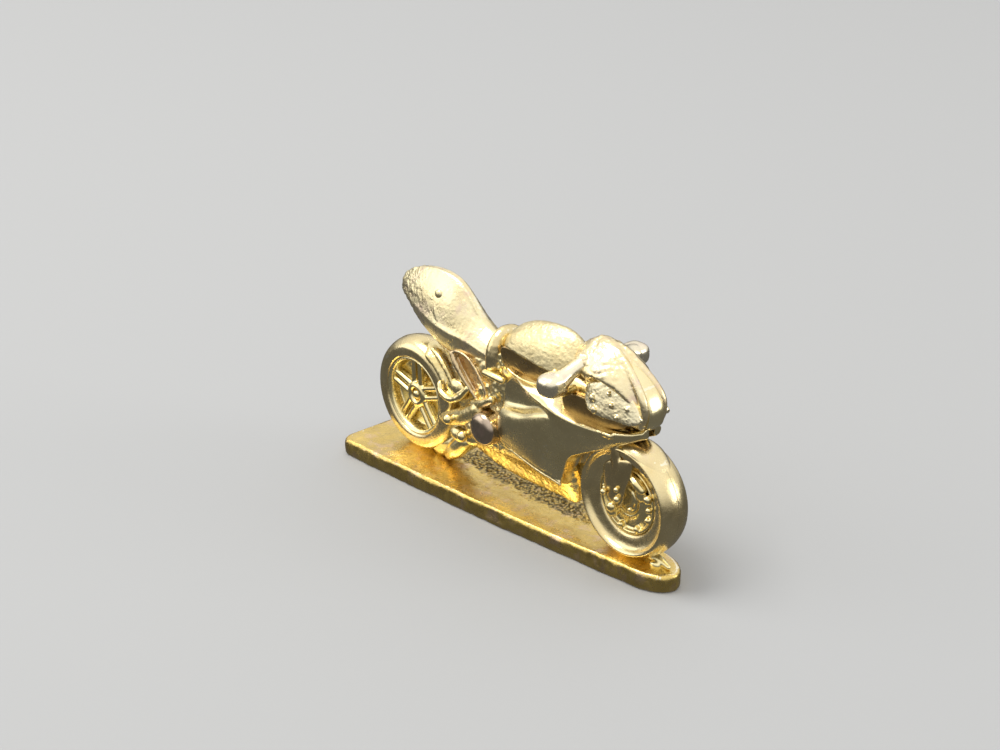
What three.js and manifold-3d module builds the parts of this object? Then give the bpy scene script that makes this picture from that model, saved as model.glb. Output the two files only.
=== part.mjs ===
// A miniature sport motorcycle on a tongue-shaped base plate, cast in one piece in metal and
// gold plated. Every member that the pattern maker shaped is a solid of its own here.
// Millimetres. X points forward, Y to the rider's left, Z up. The origin is the middle of the
// plate's underside.
import * as THREE from "three";
import { mergeVertices } from "three/addons/utils/BufferGeometryUtils.js";
import Module from "manifold-3d";

const wasm = await Module();
wasm.setup();

// ---- Driving dimensions -------------------------------------------------------------------
const GAP = 0.03; // clearance between neighbouring members
const PLATE_LENGTH = 32.9;
const PLATE_THICK = 1.38;
const PLATE_REAR_HALF = 4.3; // half width at the rear
const PLATE_NOSE_HALF = 1.9; // half width where the tip starts to round
const PLATE_BOW = 0.3; // how far each long side bulges past straight
const PLATE_TIP = 3.4; // length of the rounded tip
const PLATE_CORNER = 0.9; // radius of the rear corners
const REAR = { x: -10.85, radius: 4.66, half: 1.4, bead: 3.13, shoulder: 4.03 };
const FRONT = { x: 12.03, radius: 4.42, half: 1.33, bead: 3.3, shoulder: 4.03 };
const KEEL_Z = 3.0; // underside of the belly
const DISC_RADIUS = 2.6;
const DISC_HALF = 0.62;
const HUB_RADIUS = 0.78;
const STAR_FACE = 0.72; // how far the hub and spokes stand out from the middle plane
const REAR_WEB = 0.25; // half thickness of the blind disc in the rear wheel
const FRONT_WEB = 0.2; // the same in the front wheel
const REAR_RIM_WALL = 2.8; // inner radius of the rear rim
const SPOKE_WIDTH = 0.28;
const SPOKE_SPREAD = 0.3; // half distance between the two bars of a spoke
const SPOKES = 5;
const RIVETS = 9;
const RIVET_RING = 1.75;
const FORK_FACE = 1.62; // outer face of the fork blades
const MIRROR_Y = 4.2;
const COVER = { x: -1.15, z: 7.1, radius: 1.02, face: 2.95 }; // engine cover
const PEG_BALL = 0.38;

// ---- Finishes: one plating, a little brighter or deeper from member to member ---------------
const finish = (color, roughness) =>
  new THREE.MeshStandardMaterial({ color, roughness, metalness: 1 });
const BRIGHT = 0xe6d08a;
const GOLD = 0xd8b860;
const DEEP = 0xc99a3c;

// ---- Solids ---------------------------------------------------------------------------------
function solidOf(geometry) {
  const bare = geometry.index ? geometry.toNonIndexed() : geometry.clone();
  bare.deleteAttribute("normal");
  bare.deleteAttribute("uv");
  const merged = mergeVertices(bare, 1e-4);
  return new wasm.Manifold(
    new wasm.Mesh({
      numProp: 3,
      vertProperties: merged.attributes.position.array,
      triVerts: new Uint32Array(merged.index.array),
    }),
  );
}

function geometryOf(solid) {
  const mesh = solid.getMesh();
  const geometry = new THREE.BufferGeometry();
  geometry.setAttribute("position", new THREE.BufferAttribute(mesh.vertProperties, 3));
  geometry.setIndex(new THREE.BufferAttribute(mesh.triVerts, 1));
  geometry.computeVertexNormals();
  return geometry;
}

const outlineOf = (points) => new THREE.Shape(points.map(([a, b]) => new THREE.Vector2(a, b)));

// The closed smooth outline through the points, as count points.
function curved(points, count) {
  const through = points.map(([a, b]) => new THREE.Vector3(a, b, 0));
  const curve = new THREE.CatmullRomCurve3(through, true, "centripetal");
  return curve.getPoints(count).slice(0, -1).map((p) => [p.x, p.y]);
}

const prism = (points, depth) =>
  new THREE.ExtrudeGeometry(outlineOf(points), { depth, bevelEnabled: false });

// An outline in X, Z carried from one Y to the other.
const sideSlab = (points, yLow, yHigh) =>
  solidOf(prism(points, yHigh - yLow).rotateX(Math.PI / 2).translate(0, yHigh, 0));

// An outline in X, Y carried from one Z to the other.
const planSlab = (points, zLow, zHigh) =>
  solidOf(prism(points, zHigh - zLow).translate(0, 0, zLow));

// An outline in Y, Z carried from one X to the other.
function frontSlab(points, xLow, xHigh) {
  const turn = new THREE.Matrix4().makeBasis(
    new THREE.Vector3(0, 1, 0),
    new THREE.Vector3(0, 0, 1),
    new THREE.Vector3(1, 0, 0),
  );
  return solidOf(prism(points, xHigh - xLow).applyMatrix4(turn).translate(xLow, 0, 0));
}

// Half an outline given for Y > 0, made whole about the middle plane.
const bothSides = (half) => [...half, ...half.map(([a, b]) => [a, -b]).reverse()];
const bothSidesYZ = (half) => [...half, ...half.map(([a, b]) => [-a, b]).reverse()];

const turned = (profile, x, z, segments) =>
  solidOf(
    new THREE.LatheGeometry(
      profile.map(([r, y]) => new THREE.Vector2(r, y)),
      segments,
    ).translate(x, 0, z),
  );

const ball = (radius, at) =>
  solidOf(new THREE.SphereGeometry(radius, 8, 6).translate(...at));

// A round bar through the points.
function bar(points, radius, steps = 8) {
  const path = new THREE.CatmullRomCurve3(points.map((p) => new THREE.Vector3(...p)));
  const round = new THREE.Shape().absarc(0, 0, radius, 0, 2 * Math.PI);
  return solidOf(
    new THREE.ExtrudeGeometry(round, { steps, extrudePath: path, curveSegments: 4 }),
  );
}

// The solid swollen by grow on every side of its box.
function swollen(solid, grow) {
  const { min, max } = solid.boundingBox();
  const middle = min.map((low, i) => (low + max[i]) / 2);
  const factor = min.map((low, i) => 1 + (2 * grow) / (max[i] - low));
  return solid
    .translate(middle.map((m) => -m))
    .scale(factor)
    .translate(middle);
}

const largest = (solid) =>
  solid.decompose().reduce((best, body) => (body.volume() > best.volume() ? body : best));

// The solid with room cut for its neighbours.
const clearOf = (solid, ...neighbours) =>
  largest(neighbours.reduce((rest, other) => rest.subtract(swollen(other, GAP)), solid));

const flipped = (solid) => solid.mirror([0, 1, 0]);

// ---- Base plate -----------------------------------------------------------------------------
const plateEnd = PLATE_LENGTH / 2;
const tipStart = plateEnd - PLATE_TIP;
function plateHalf(x) {
  const along = (x + plateEnd) / (tipStart + plateEnd);
  const straight = PLATE_REAR_HALF + (PLATE_NOSE_HALF - PLATE_REAR_HALF) * along;
  return straight + PLATE_BOW * Math.sin(Math.PI * along);
}
const plateOutline = [];
for (let i = 0; i <= 4; i++) {
  const angle = Math.PI - (Math.PI / 2) * (i / 4);
  const cornerX = -plateEnd + PLATE_CORNER * (1 + Math.cos(angle));
  const cornerY = plateHalf(-plateEnd) - PLATE_CORNER * (1 - Math.sin(angle));
  plateOutline.push([cornerX, cornerY]);
}
for (let i = 1; i < 10; i++) {
  const x = -plateEnd + PLATE_CORNER + (tipStart + plateEnd - PLATE_CORNER) * (i / 10);
  plateOutline.push([x, plateHalf(x)]);
}
for (let i = 0; i < 8; i++) {
  const angle = (Math.PI / 2) * (1 - i / 8);
  plateOutline.push([
    tipStart + (plateEnd - tipStart) * Math.cos(angle),
    plateHalf(tipStart) * Math.sin(angle),
  ]);
}
plateOutline.push([plateEnd, 0]);
const otherSide = plateOutline.slice(0, -1).map(([x, y]) => [x, -y]);
const platePoints = [...plateOutline, ...otherSide.reverse()];
const basePlate = planSlab(platePoints.reverse(), 0, PLATE_THICK);

// ---- Wheels ---------------------------------------------------------------------------------
const wheelZ = (wheel) => PLATE_THICK + wheel.radius;
function tyre(wheel) {
  const { radius, half, bead, shoulder } = wheel;
  const side = [
    [bead, half * 0.84],
    [bead + 0.3, half * 0.98],
    [shoulder, half * 0.96],
    [shoulder + (radius - shoulder) * 0.62, half * 0.72],
    [shoulder + (radius - shoulder) * 0.92, half * 0.36],
  ];
  const profile = [
    ...side.map(([r, y]) => [r, -y]),
    [radius, 0],
    ...side.reverse(),
  ];
  return turned([...profile, profile[0]], wheel.x, wheelZ(wheel), 44);
}
function rim(wheel, wall, web) {
  const outer = wheel.bead - GAP;
  const edge = wheel.half * 0.8;
  const profile = [
    [0, -web],
    [wall, -web],
    [wall, -edge],
    [outer, -edge],
    [outer, edge],
    [wall, edge],
    [wall, web],
    [0, web],
  ];
  return turned(profile, wheel.x, wheelZ(wheel), 36);
}
const rearTyre = clearOf(tyre(REAR), basePlate);
const frontTyre = clearOf(tyre(FRONT), basePlate);
const rearRim = rim(REAR, REAR_RIM_WALL, REAR_WEB);
const frontRim = rim(FRONT, DISC_RADIUS + 0.12, FRONT_WEB);

// The twin spokes on the right of the rear wheel, with the hub that they grow from.
function spokeStar(wheel) {
  const low = -STAR_FACE;
  const high = -REAR_WEB - GAP;
  const z = wheelZ(wheel);
  const reach = REAR_RIM_WALL - GAP * 2;
  let star = turned(
    [
      [0, low],
      [HUB_RADIUS, low],
      [HUB_RADIUS, high],
      [0, high],
    ],
    wheel.x,
    z,
    20,
  );
  const half = SPOKE_WIDTH / 2;
  const inner = 0.3;
  const firstAngle = 20;
  for (let i = 0; i < SPOKES; i++) {
    const angle = firstAngle + (360 / SPOKES) * i;
    for (const shift of [-SPOKE_SPREAD, SPOKE_SPREAD]) {
      const spoke = sideSlab(
        [
          [inner, shift - half],
          [reach, shift - half],
          [reach, shift + half],
          [inner, shift + half],
        ],
        low,
        high,
      );
      star = star.add(spoke.rotate([0, angle, 0]).translate([wheel.x, 0, z]));
    }
  }
  return star;
}
const spokesRight = clearOf(spokeStar(REAR), rearRim);

function nut(wheel, yFace, radius, height) {
  return turned(
    [
      [0, yFace - height],
      [radius * 0.7, yFace - height],
      [radius, yFace - height * 0.6],
      [radius, yFace],
      [0, yFace],
    ],
    wheel.x,
    wheelZ(wheel),
    14,
  );
}
const rearNutRight = nut(REAR, -STAR_FACE - GAP, 0.36, 0.3);

// Brake disc with its ring of rivets, on the right of the front rim.
function brakeDisc(wheel) {
  const low = -DISC_HALF;
  const high = -FRONT_WEB - GAP;
  const sunk = low + 0.14;
  const z = wheelZ(wheel);
  let disc = turned(
    [
      [0, low],
      [1.25, low],
      [1.4, sunk],
      [DISC_RADIUS - 0.25, sunk],
      [DISC_RADIUS, low],
      [DISC_RADIUS, high],
      [0, high],
    ],
    wheel.x,
    z,
    32,
  );
  for (let i = 0; i < RIVETS; i++) {
    const angle = (2 * Math.PI * i) / RIVETS;
    const at = [
      wheel.x + RIVET_RING * Math.cos(angle),
      low + 0.08,
      z + RIVET_RING * Math.sin(angle),
    ];
    disc = disc.add(ball(0.24, at));
  }
  return disc;
}

// ---- Front end: fork blades, fender, callipers ----------------------------------------------
const axleZ = wheelZ(FRONT);
const forkOutline = curved(
  [
    [FRONT.x - 0.55, axleZ - 0.35],
    [FRONT.x + 0.55, axleZ - 0.35],
    [FRONT.x + 0.75, axleZ + 0.5],
    [FRONT.x + 0.75, axleZ + 3.0],
    [FRONT.x - 1.9, axleZ + 3.0],
    [FRONT.x - 1.5, axleZ + 1.2],
  ],
  20,
);
const forkFlat = sideSlab(forkOutline, -FORK_FACE, -DISC_HALF - 0.4);
const discRight = brakeDisc(FRONT);
const forkRight = clearOf(forkFlat, discRight, frontTyre, frontRim);
const frontNutRight = nut(FRONT, -FORK_FACE - GAP, 0.34, 0.22);
const caliperOutline = curved(
  [
    [FRONT.x + 1.15, axleZ],
    [FRONT.x + 1.95, axleZ - 0.25],
    [FRONT.x + 2.3, axleZ + 0.4],
    [FRONT.x + 1.75, axleZ + 1.5],
    [FRONT.x + 1.0, axleZ + 1.35],
  ],
  14,
);
const caliperRight = clearOf(
  sideSlab(caliperOutline, -1.05, -DISC_HALF - 0.12),
  discRight,
  frontTyre,
  frontRim,
  forkRight,
);

// The fender is an arc over the tyre, closed at the sides.
function fenderArc(inner, outer, from, to, half) {
  const points = [];
  const steps = 10;
  for (let i = 0; i <= steps; i++) {
    const angle = from + ((to - from) * i) / steps;
    points.push([FRONT.x + outer * Math.cos(angle), axleZ + outer * Math.sin(angle)]);
  }
  for (let i = steps; i >= 0; i--) {
    const angle = from + ((to - from) * i) / steps;
    points.push([FRONT.x + inner * Math.cos(angle), axleZ + inner * Math.sin(angle)]);
  }
  return sideSlab(points, -half, half);
}
const fenderHalf = FRONT.half + 0.2;
const fenderFrom = THREE.MathUtils.degToRad(72);
const fenderTo = THREE.MathUtils.degToRad(150);
const fenderBand = fenderArc(3.5, FRONT.radius + 0.24, fenderFrom, fenderTo, fenderHalf);
const tyreRoom = turned(
  [
    [0, -FRONT.half - 0.02],
    [FRONT.radius - 0.25, -FRONT.half - 0.02],
    [FRONT.radius + 0.05, -FRONT.half * 0.45],
    [FRONT.radius + 0.05, FRONT.half * 0.45],
    [FRONT.radius - 0.25, FRONT.half + 0.02],
    [0, FRONT.half + 0.02],
  ],
  FRONT.x,
  axleZ,
  44,
);
const fender = clearOf(
  fenderBand.subtract(tyreRoom),
  forkRight,
  flipped(forkRight),
);

// ---- Belly, engine and side fairings --------------------------------------------------------
const bellyTop = 5.55;
const bellySide = sideSlab(
  [
    [-5.2, 3.75],
    [-3.2, 3.3],
    [-1.2, KEEL_Z],
    [6.3, KEEL_Z],
    [7.0, 4.3],
    [6.7, bellyTop],
    [-3.6, bellyTop],
  ],
  -2,
  2,
);
const bellyFront = frontSlab(
  bothSidesYZ([
    [0.16, KEEL_Z - 0.1],
    [1.05, 3.9],
    [1.72, bellyTop + 0.1],
  ]),
  -6,
  8,
);
const bellyPan = bellySide.intersect(bellyFront);

const engineSide = curved(
  [
    [-3.9, 6.6],
    [-3.0, 5.75],
    [6.0, 5.75],
    [7.2, 7.2],
    [8.6, 8.9],
    [8.4, 11.0],
    [0.5, 11.4],
    [-3.2, 10.6],
  ],
  30,
);
const engineHalf = 1.3;
const engine = clearOf(sideSlab(engineSide, -engineHalf, engineHalf), bellyPan, fender);

const fairingSide = curved(
  [
    [0.0, 6.3],
    [3.3, 5.85],
    [6.55, 5.35],
    [6.9, 6.5],
    [7.5, 7.7],
    [8.8, 8.65],
    [10.6, 9.6],
    [12.5, 10.45],
    [13.6, 11.15],
    [12.4, 11.5],
    [10.9, 11.3],
    [8.8, 11.25],
    [6.8, 11.4],
    [4.9, 11.9],
    [2.5, 12.45],
    [0.9, 12.1],
    [-0.3, 10.3],
    [0.1, 8.4],
  ],
  60,
);
const fairingPlan = planSlab(
  [
    [-0.6, -1.45],
    [-0.6, -2.1],
    [2.0, -2.55],
    [5.0, -2.8],
    [9.0, -2.75],
    [11.5, -2.2],
    [13.0, -1.35],
    [13.8, -0.7],
    [13.0, -0.45],
    [8.8, -1.45],
  ],
  4,
  14,
);
const fairingFront = frontSlab(
  [
    [-0.4, 5.0],
    [-0.4, 13.0],
    [-1.7, 13.0],
    [-2.5, 12.1],
    [-2.82, 11.2],
    [-2.75, 9.6],
    [-2.45, 7.6],
    [-1.85, 5.6],
    [-1.75, 5.0],
  ],
  -1,
  15,
);
const fairingWhole = sideSlab(fairingSide, -3, -0.4).intersect(fairingPlan).intersect(fairingFront);
const fairingRight = clearOf(fairingWhole, bellyPan, engine, fender, forkRight);

// ---- Tank, collar, seat and tail ------------------------------------------------------------
const tankSide = curved(
  [
    [-0.9, 12.0],
    [7.0, 12.0],
    [7.3, 13.8],
    [6.3, 15.9],
    [4.4, 16.3],
    [2.6, 16.1],
    [0.9, 15.6],
    [-0.3, 14.9],
    [-0.9, 13.6],
  ],
  34,
);
const tankFront = frontSlab(
  bothSidesYZ([
    [0.6, 16.4],
    [1.35, 15.5],
    [1.75, 14.2],
    [1.5, 13.2],
    [1.45, 11.6],
  ]).reverse(),
  -2,
  9,
);
const tank = clearOf(
  sideSlab(tankSide, -3, 3).intersect(tankFront),
  fairingRight,
  flipped(fairingRight),
  engine,
);

const collarSide = curved(
  [
    [-2.3, 11.7],
    [-1.0, 11.7],
    [-1.0, 13.6],
    [-0.7, 14.5],
    [-1.3, 14.6],
    [-1.9, 13.8],
    [-2.4, 12.8],
  ],
  20,
);
const collar = clearOf(
  sideSlab(collarSide, -1.1, 1.1),
  tank,
  engine,
  fairingRight,
  flipped(fairingRight),
);

const seatSide = curved(
  [
    [-6.0, 12.05],
    [-2.45, 11.75],
    [-2.5, 13.2],
    [-3.3, 13.45],
    [-4.3, 14.0],
    [-5.5, 13.8],
  ],
  20,
);
const seatFull = clearOf(sideSlab(seatSide, -1.35, 1.35), collar);

const tailSide = curved(
  [
    [-13.3, 14.4],
    [-12.9, 15.4],
    [-11.9, 16.2],
    [-10.0, 16.75],
    [-8.0, 16.95],
    [-6.4, 16.6],
    [-5.4, 15.5],
    [-4.6, 14.2],
    [-4.6, 12.6],
    [-6.6, 12.15],
    [-9.0, 12.6],
    [-10.8, 13.2],
    [-12.4, 13.8],
  ],
  40,
);
const tailPlan = planSlab(
  bothSides([
    [-13.4, 0.2],
    [-12.4, 0.6],
    [-10.5, 1.05],
    [-8.6, 1.5],
    [-6.6, 1.65],
    [-4.4, 1.5],
  ]).reverse(),
  11,
  18,
);
const tailFront = frontSlab(
  bothSidesYZ([
    [0.3, 17.1],
    [0.8, 16.4],
    [1.3, 14.9],
    [1.65, 13.3],
    [1.4, 12.0],
  ]).reverse(),
  -15,
  -3,
);
const tailBoss = ball(0.3, [-9.9, -0.95, 15.5]);
const tail = clearOf(
  sideSlab(tailSide, -3, 3).intersect(tailPlan).intersect(tailFront),
  tailBoss,
  flipped(tailBoss),
);
const seat = clearOf(seatFull, tail);

// ---- Nose: upper fairing, windscreen, headlights, mirrors, grips ----------------------------
const nosePlanHalf = [
  [6.9, 1.7],
  [8.4, 2.3],
  [10.2, 2.2],
  [12.0, 1.9],
  [13.4, 1.4],
  [14.25, 0.85],
  [14.4, 0.3],
];
const noseSide = curved(
  [
    [7.6, 11.75],
    [10.8, 11.8],
    [13.0, 11.8],
    [14.1, 12.0],
    [14.4, 12.8],
    [13.7, 14.1],
    [12.6, 14.7],
    [7.8, 14.4],
  ],
  30,
);
const noseFull = sideSlab(noseSide, -3, 3).intersect(
  planSlab(bothSides(nosePlanHalf).reverse(), 11, 16),
);
const headlightOutline = curved(
  [
    [9.0, 12.4],
    [11.6, 12.2],
    [13.2, 12.5],
    [12.7, 13.5],
    [11.4, 14.2],
    [9.1, 14.0],
  ],
  20,
);
const headlightShell = planSlab(
  [
    [8.6, -1.65],
    [8.6, -2.4],
    [10.4, -2.3],
    [12.2, -2.0],
    [13.75, -1.35],
    [13.5, -0.95],
    [11.8, -1.35],
    [10.0, -1.65],
  ],
  11,
  15,
);
const headlightRight = sideSlab(headlightOutline, -3, -0.5).intersect(headlightShell);
const nose = clearOf(
  noseFull,
  fairingRight,
  flipped(fairingRight),
  headlightRight,
  flipped(headlightRight),
  tank,
);

const screenSide = curved(
  [
    [7.6, 14.55],
    [12.5, 14.85],
    [13.1, 14.6],
    [12.4, 15.5],
    [11.3, 16.3],
    [10.2, 16.95],
    [9.2, 17.15],
    [8.0, 16.7],
  ],
  30,
);
const screenFront = frontSlab(
  bothSidesYZ([
    [0.35, 17.3],
    [1.2, 16.6],
    [1.75, 15.6],
    [1.95, 14.3],
  ]).reverse(),
  7,
  14,
);
const screenPlan = planSlab(
  bothSides([
    [7.2, 1.5],
    [8.2, 1.95],
    [10.0, 1.95],
    [12.0, 1.4],
    [13.3, 0.5],
  ]).reverse(),
  14,
  18,
);
const windscreen = clearOf(
  sideSlab(screenSide, -3, 3).intersect(screenFront).intersect(screenPlan),
  nose,
  headlightRight,
  flipped(headlightRight),
  tank,
);

const mirrorPod = solidOf(
  new THREE.SphereGeometry(1, 14, 10)
    .scale(1.15, 0.95, 0.72)
    .rotateY(THREE.MathUtils.degToRad(-14))
    .translate(8.15, -MIRROR_Y, 14.5),
);
const mirrorStalk = bar(
  [
    [8.6, -3.7, 14.65],
    [8.9, -2.8, 14.95],
    [9.1, -1.8, 15.1],
  ],
  0.3,
  4,
);
const mirrorRight = clearOf(mirrorPod.add(mirrorStalk), windscreen, nose, headlightRight);

const gripRight = clearOf(
  bar(
    [
      [7.3, -1.4, 13.3],
      [7.6, -2.2, 13.2],
      [7.7, -3.0, 13.05],
    ],
    0.36,
    4,
  ),
  nose,
  tank,
  fairingRight,
  headlightRight,
  windscreen,
);

// ---- Rear end: swingarm, hugger, brackets, pegs ---------------------------------------------
const rearAxleZ = wheelZ(REAR);
const rearTyreRoom = turned(
  [
    [0, -REAR.half - GAP],
    [REAR.radius - 0.35, -REAR.half - GAP],
    [REAR.radius + 0.05, -REAR.half * 0.4],
    [REAR.radius + 0.05, REAR.half * 0.4],
    [REAR.radius - 0.35, REAR.half + GAP],
    [0, REAR.half + GAP],
  ],
  REAR.x,
  rearAxleZ,
  44,
);

const swingOutline = curved(
  [
    [-6.6, 4.0],
    [-5.2, 4.2],
    [-2.9, 5.9],
    [-2.4, 7.9],
    [-3.6, 8.2],
    [-5.0, 6.9],
    [-6.8, 5.4],
  ],
  24,
);
const swingRight = clearOf(
  sideSlab(swingOutline, -1.75, -0.35).subtract(rearTyreRoom),
  engine,
  bellyPan,
);

function huggerArc() {
  const points = [];
  const steps = 12;
  const from = THREE.MathUtils.degToRad(22);
  const to = THREE.MathUtils.degToRad(88);
  for (const [radius, first, last] of [
    [REAR.radius + 0.75, from, to],
    [REAR.radius - 0.4, to, from],
  ]) {
    for (let i = 0; i <= steps; i++) {
      const angle = first + ((last - first) * i) / steps;
      points.push([REAR.x + radius * Math.cos(angle), rearAxleZ + radius * Math.sin(angle)]);
    }
  }
  return sideSlab(points, -1.25, 1.25).subtract(rearTyreRoom);
}
const hugger = clearOf(huggerArc(), swingRight, flipped(swingRight), engine);

const bracketRight = clearOf(
  bar(
    [
      [-6.9, -1.85, 8.1],
      [-6.5, -1.9, 7.45],
      [-5.6, -1.95, 7.35],
      [-4.8, -1.95, 7.9],
      [-4.3, -1.9, 8.9],
    ],
    0.3,
    6,
  ),
  swingRight,
  hugger,
  engine,
);

const leafOutline = curved(
  [
    [-5.7, 11.75],
    [-4.8, 12.0],
    [-3.2, 11.1],
    [-2.2, 9.9],
    [-2.1, 8.6],
    [-3.2, 9.1],
    [-4.7, 10.4],
  ],
  22,
);
const leafRight = clearOf(
  sideSlab(leafOutline, -1.75, -1.0),
  engine,
  hugger,
  seat,
  tail,
  swingRight,
  collar,
);

const struts = clearOf(
  sideSlab(
    [
      [-6.3, 11.5],
      [-3.4, 10.75],
      [-2.5, 11.6],
      [-2.6, 11.95],
      [-8.0, 12.3],
    ],
    -0.9,
    0.9,
  ),
  seat,
  tail,
  engine,
  hugger,
  collar,
  leafRight,
  flipped(leafRight),
);

const coverRight = clearOf(
  turned(
    [
      [0, -COVER.face],
      [COVER.radius * 0.7, -COVER.face + 0.05],
      [COVER.radius - 0.02, -COVER.face + 0.25],
      [COVER.radius, -engineHalf - GAP],
      [0, -engineHalf - GAP],
    ],
    COVER.x,
    COVER.z,
    22,
  ),
  engine,
  fairingRight,
  bellyPan,
  swingRight,
);

function ballPeg(from, to) {
  return bar([from, from.map((v, i) => (v + to[i]) / 2), to], 0.24, 3).add(ball(PEG_BALL, to));
}
const pegRight = clearOf(ballPeg([-4.3, -1.5, 6.3], [-4.9, -2.55, 6.45]), swingRight, coverRight);
const pedalRight = clearOf(
  ballPeg([-2.9, -1.4, 5.5], [-3.3, -2.5, 5.6]),
  swingRight,
  coverRight,
  engine,
  bellyPan,
);
const railRight = clearOf(
  bar(
    [
      [-1.2, -1.9, 11.8],
      [-0.4, -2.0, 11.95],
      [0.5, -2.0, 11.85],
    ],
    0.27,
    4,
  ),
  fairingRight,
  collar,
  engine,
  tank,
  leafRight,
);

// ---- Webs that tie the wheels to the plate and the belly -------------------------------------
const rearLobe = clearOf(
  sideSlab(
    curved(
      [
        [-7.4, 3.0],
        [-6.6, 2.75],
        [-5.3, 3.7],
        [-5.6, 4.6],
        [-7.4, 4.6],
      ],
      14,
    ),
    -0.9,
    0.9,
  ).subtract(rearTyreRoom),
  swingRight,
  flipped(swingRight),
  bellyPan,
  basePlate,
);
const tipWeb = clearOf(
  sideSlab(
    [
      [12.8, PLATE_THICK + GAP],
      [15.9, PLATE_THICK + GAP],
      [15.3, 2.0],
      [14.6, 2.6],
    ],
    -0.4,
    0.4,
  ),
  frontTyre,
);

// ---- Assembly --------------------------------------------------------------------------------
const motorcycle = new THREE.Group();
function place(name, solid, color = GOLD, roughness = 0.25) {
  const mesh = new THREE.Mesh(geometryOf(solid), finish(color, roughness));
  mesh.name = name;
  motorcycle.add(mesh);
}
function placePair(name, right, color, roughness) {
  place(`${name}_right`, right, color, roughness);
  place(`${name}_left`, flipped(right), color, roughness);
}

place("base_plate", basePlate, DEEP, 0.38);
place("front_tip_web", tipWeb, DEEP, 0.38);
place("rear_support_lobe", rearLobe, DEEP, 0.3);
place("rear_tyre", rearTyre);
place("rear_rim", rearRim, DEEP);
placePair("rear_spokes", spokesRight, BRIGHT);
placePair("rear_axle_nut", rearNutRight, BRIGHT);
place("front_tyre", frontTyre);
place("front_rim", frontRim, DEEP);
placePair("front_brake_disc", discRight);
placePair("front_caliper", caliperRight, BRIGHT);
placePair("fork_leg", forkRight);
placePair("front_axle_nut", frontNutRight, BRIGHT);
place("front_fender", fender);
place("belly_pan", bellyPan, DEEP);
place("engine_block", engine);
placePair("side_fairing", fairingRight, GOLD, 0.16);
place("fuel_tank", tank, BRIGHT);
place("tank_collar", collar, BRIGHT);
place("seat_pad", seat, BRIGHT);
place("tail_cowl", tail, BRIGHT, 0.34);
placePair("tail_boss", tailBoss, BRIGHT);
place("upper_fairing", nose, BRIGHT, 0.2);
placePair("headlight_panel", headlightRight, BRIGHT, 0.34);
place("windscreen", windscreen, BRIGHT, 0.3);
placePair("mirror", mirrorRight, BRIGHT, 0.16);
placePair("handlebar_grip", gripRight, DEEP);
placePair("swingarm", swingRight);
place("rear_hugger", hugger);
placePair("hugger_bracket", bracketRight, BRIGHT);
placePair("subframe_panel", leafRight);
place("subframe_spine", struts);
placePair("engine_cover", coverRight);
placePair("footpeg", pegRight, BRIGHT);
placePair("foot_lever", pedalRight, BRIGHT);
placePair("frame_rail", railRight, BRIGHT);

export default motorcycle;
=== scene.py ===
import math

import bmesh
import bpy
import numpy as np
from mathutils import Matrix, Vector


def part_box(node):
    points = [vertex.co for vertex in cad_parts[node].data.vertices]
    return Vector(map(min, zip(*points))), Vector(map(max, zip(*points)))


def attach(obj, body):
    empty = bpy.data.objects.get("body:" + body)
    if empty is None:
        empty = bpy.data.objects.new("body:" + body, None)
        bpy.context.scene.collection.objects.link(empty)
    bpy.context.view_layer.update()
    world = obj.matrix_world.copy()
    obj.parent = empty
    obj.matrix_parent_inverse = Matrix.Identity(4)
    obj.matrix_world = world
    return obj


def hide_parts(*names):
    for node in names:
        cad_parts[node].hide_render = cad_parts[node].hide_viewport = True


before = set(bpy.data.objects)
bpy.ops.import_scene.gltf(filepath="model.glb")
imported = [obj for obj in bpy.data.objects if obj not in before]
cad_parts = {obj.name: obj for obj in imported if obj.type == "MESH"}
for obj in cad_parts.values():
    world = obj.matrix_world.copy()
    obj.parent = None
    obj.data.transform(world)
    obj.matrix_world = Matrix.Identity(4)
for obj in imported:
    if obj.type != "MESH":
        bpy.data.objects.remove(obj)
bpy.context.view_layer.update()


# ---- Camera -------------------------------------------------------------------------------------
# Looks down at the right side of the motorcycle from ahead, close by, with a short portrait lens.
MM = 0.001
CAMERA_AZIMUTH = math.radians(48.1)
CAMERA_HEIGHT = math.radians(24.55)
CAMERA_ROLL = math.radians(0.19)
CAMERA_FAR = 149.3
CAMERA_AIM = Vector((-3.81, 1.50, 9.38))

back = Vector((math.sin(CAMERA_AZIMUTH) * math.cos(CAMERA_HEIGHT),
               -math.cos(CAMERA_AZIMUTH) * math.cos(CAMERA_HEIGHT),
               math.sin(CAMERA_HEIGHT)))
level = Vector((math.cos(CAMERA_AZIMUTH), math.sin(CAMERA_AZIMUTH), 0.0))
upward = back.cross(level)
across = math.cos(CAMERA_ROLL) * level + math.sin(CAMERA_ROLL) * upward
upward = back.cross(across)
camera = bpy.data.objects.new("camera", bpy.data.cameras.new("camera"))
camera.data.sensor_width = 36.0
camera.data.lens = 70.9
camera.data.clip_start = 0.01
camera.data.clip_end = 10.0
turn = Matrix((across, upward, back)).transposed()
camera.matrix_world = Matrix.Translation((CAMERA_AIM + back * CAMERA_FAR) * MM) @ turn.to_4x4()
bpy.context.scene.collection.objects.link(camera)
bpy.context.scene.camera = camera


# ---- Base plate ----------------------------------------------------------------------------------
# The tongue-shaped plate the motorcycle stands on: straight across the back, narrowing forward to a
# rounded tip. Cast with the bike, grainy below it where no polishing reached, that strip greyed with
# painted shade; its rim is pale, partly rubbed and partly a painted highlight.
def box_of(node):
    """The low and high corners of a node's box, in millimetres."""
    return [np.array(corner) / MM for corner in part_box(node)]


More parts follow.
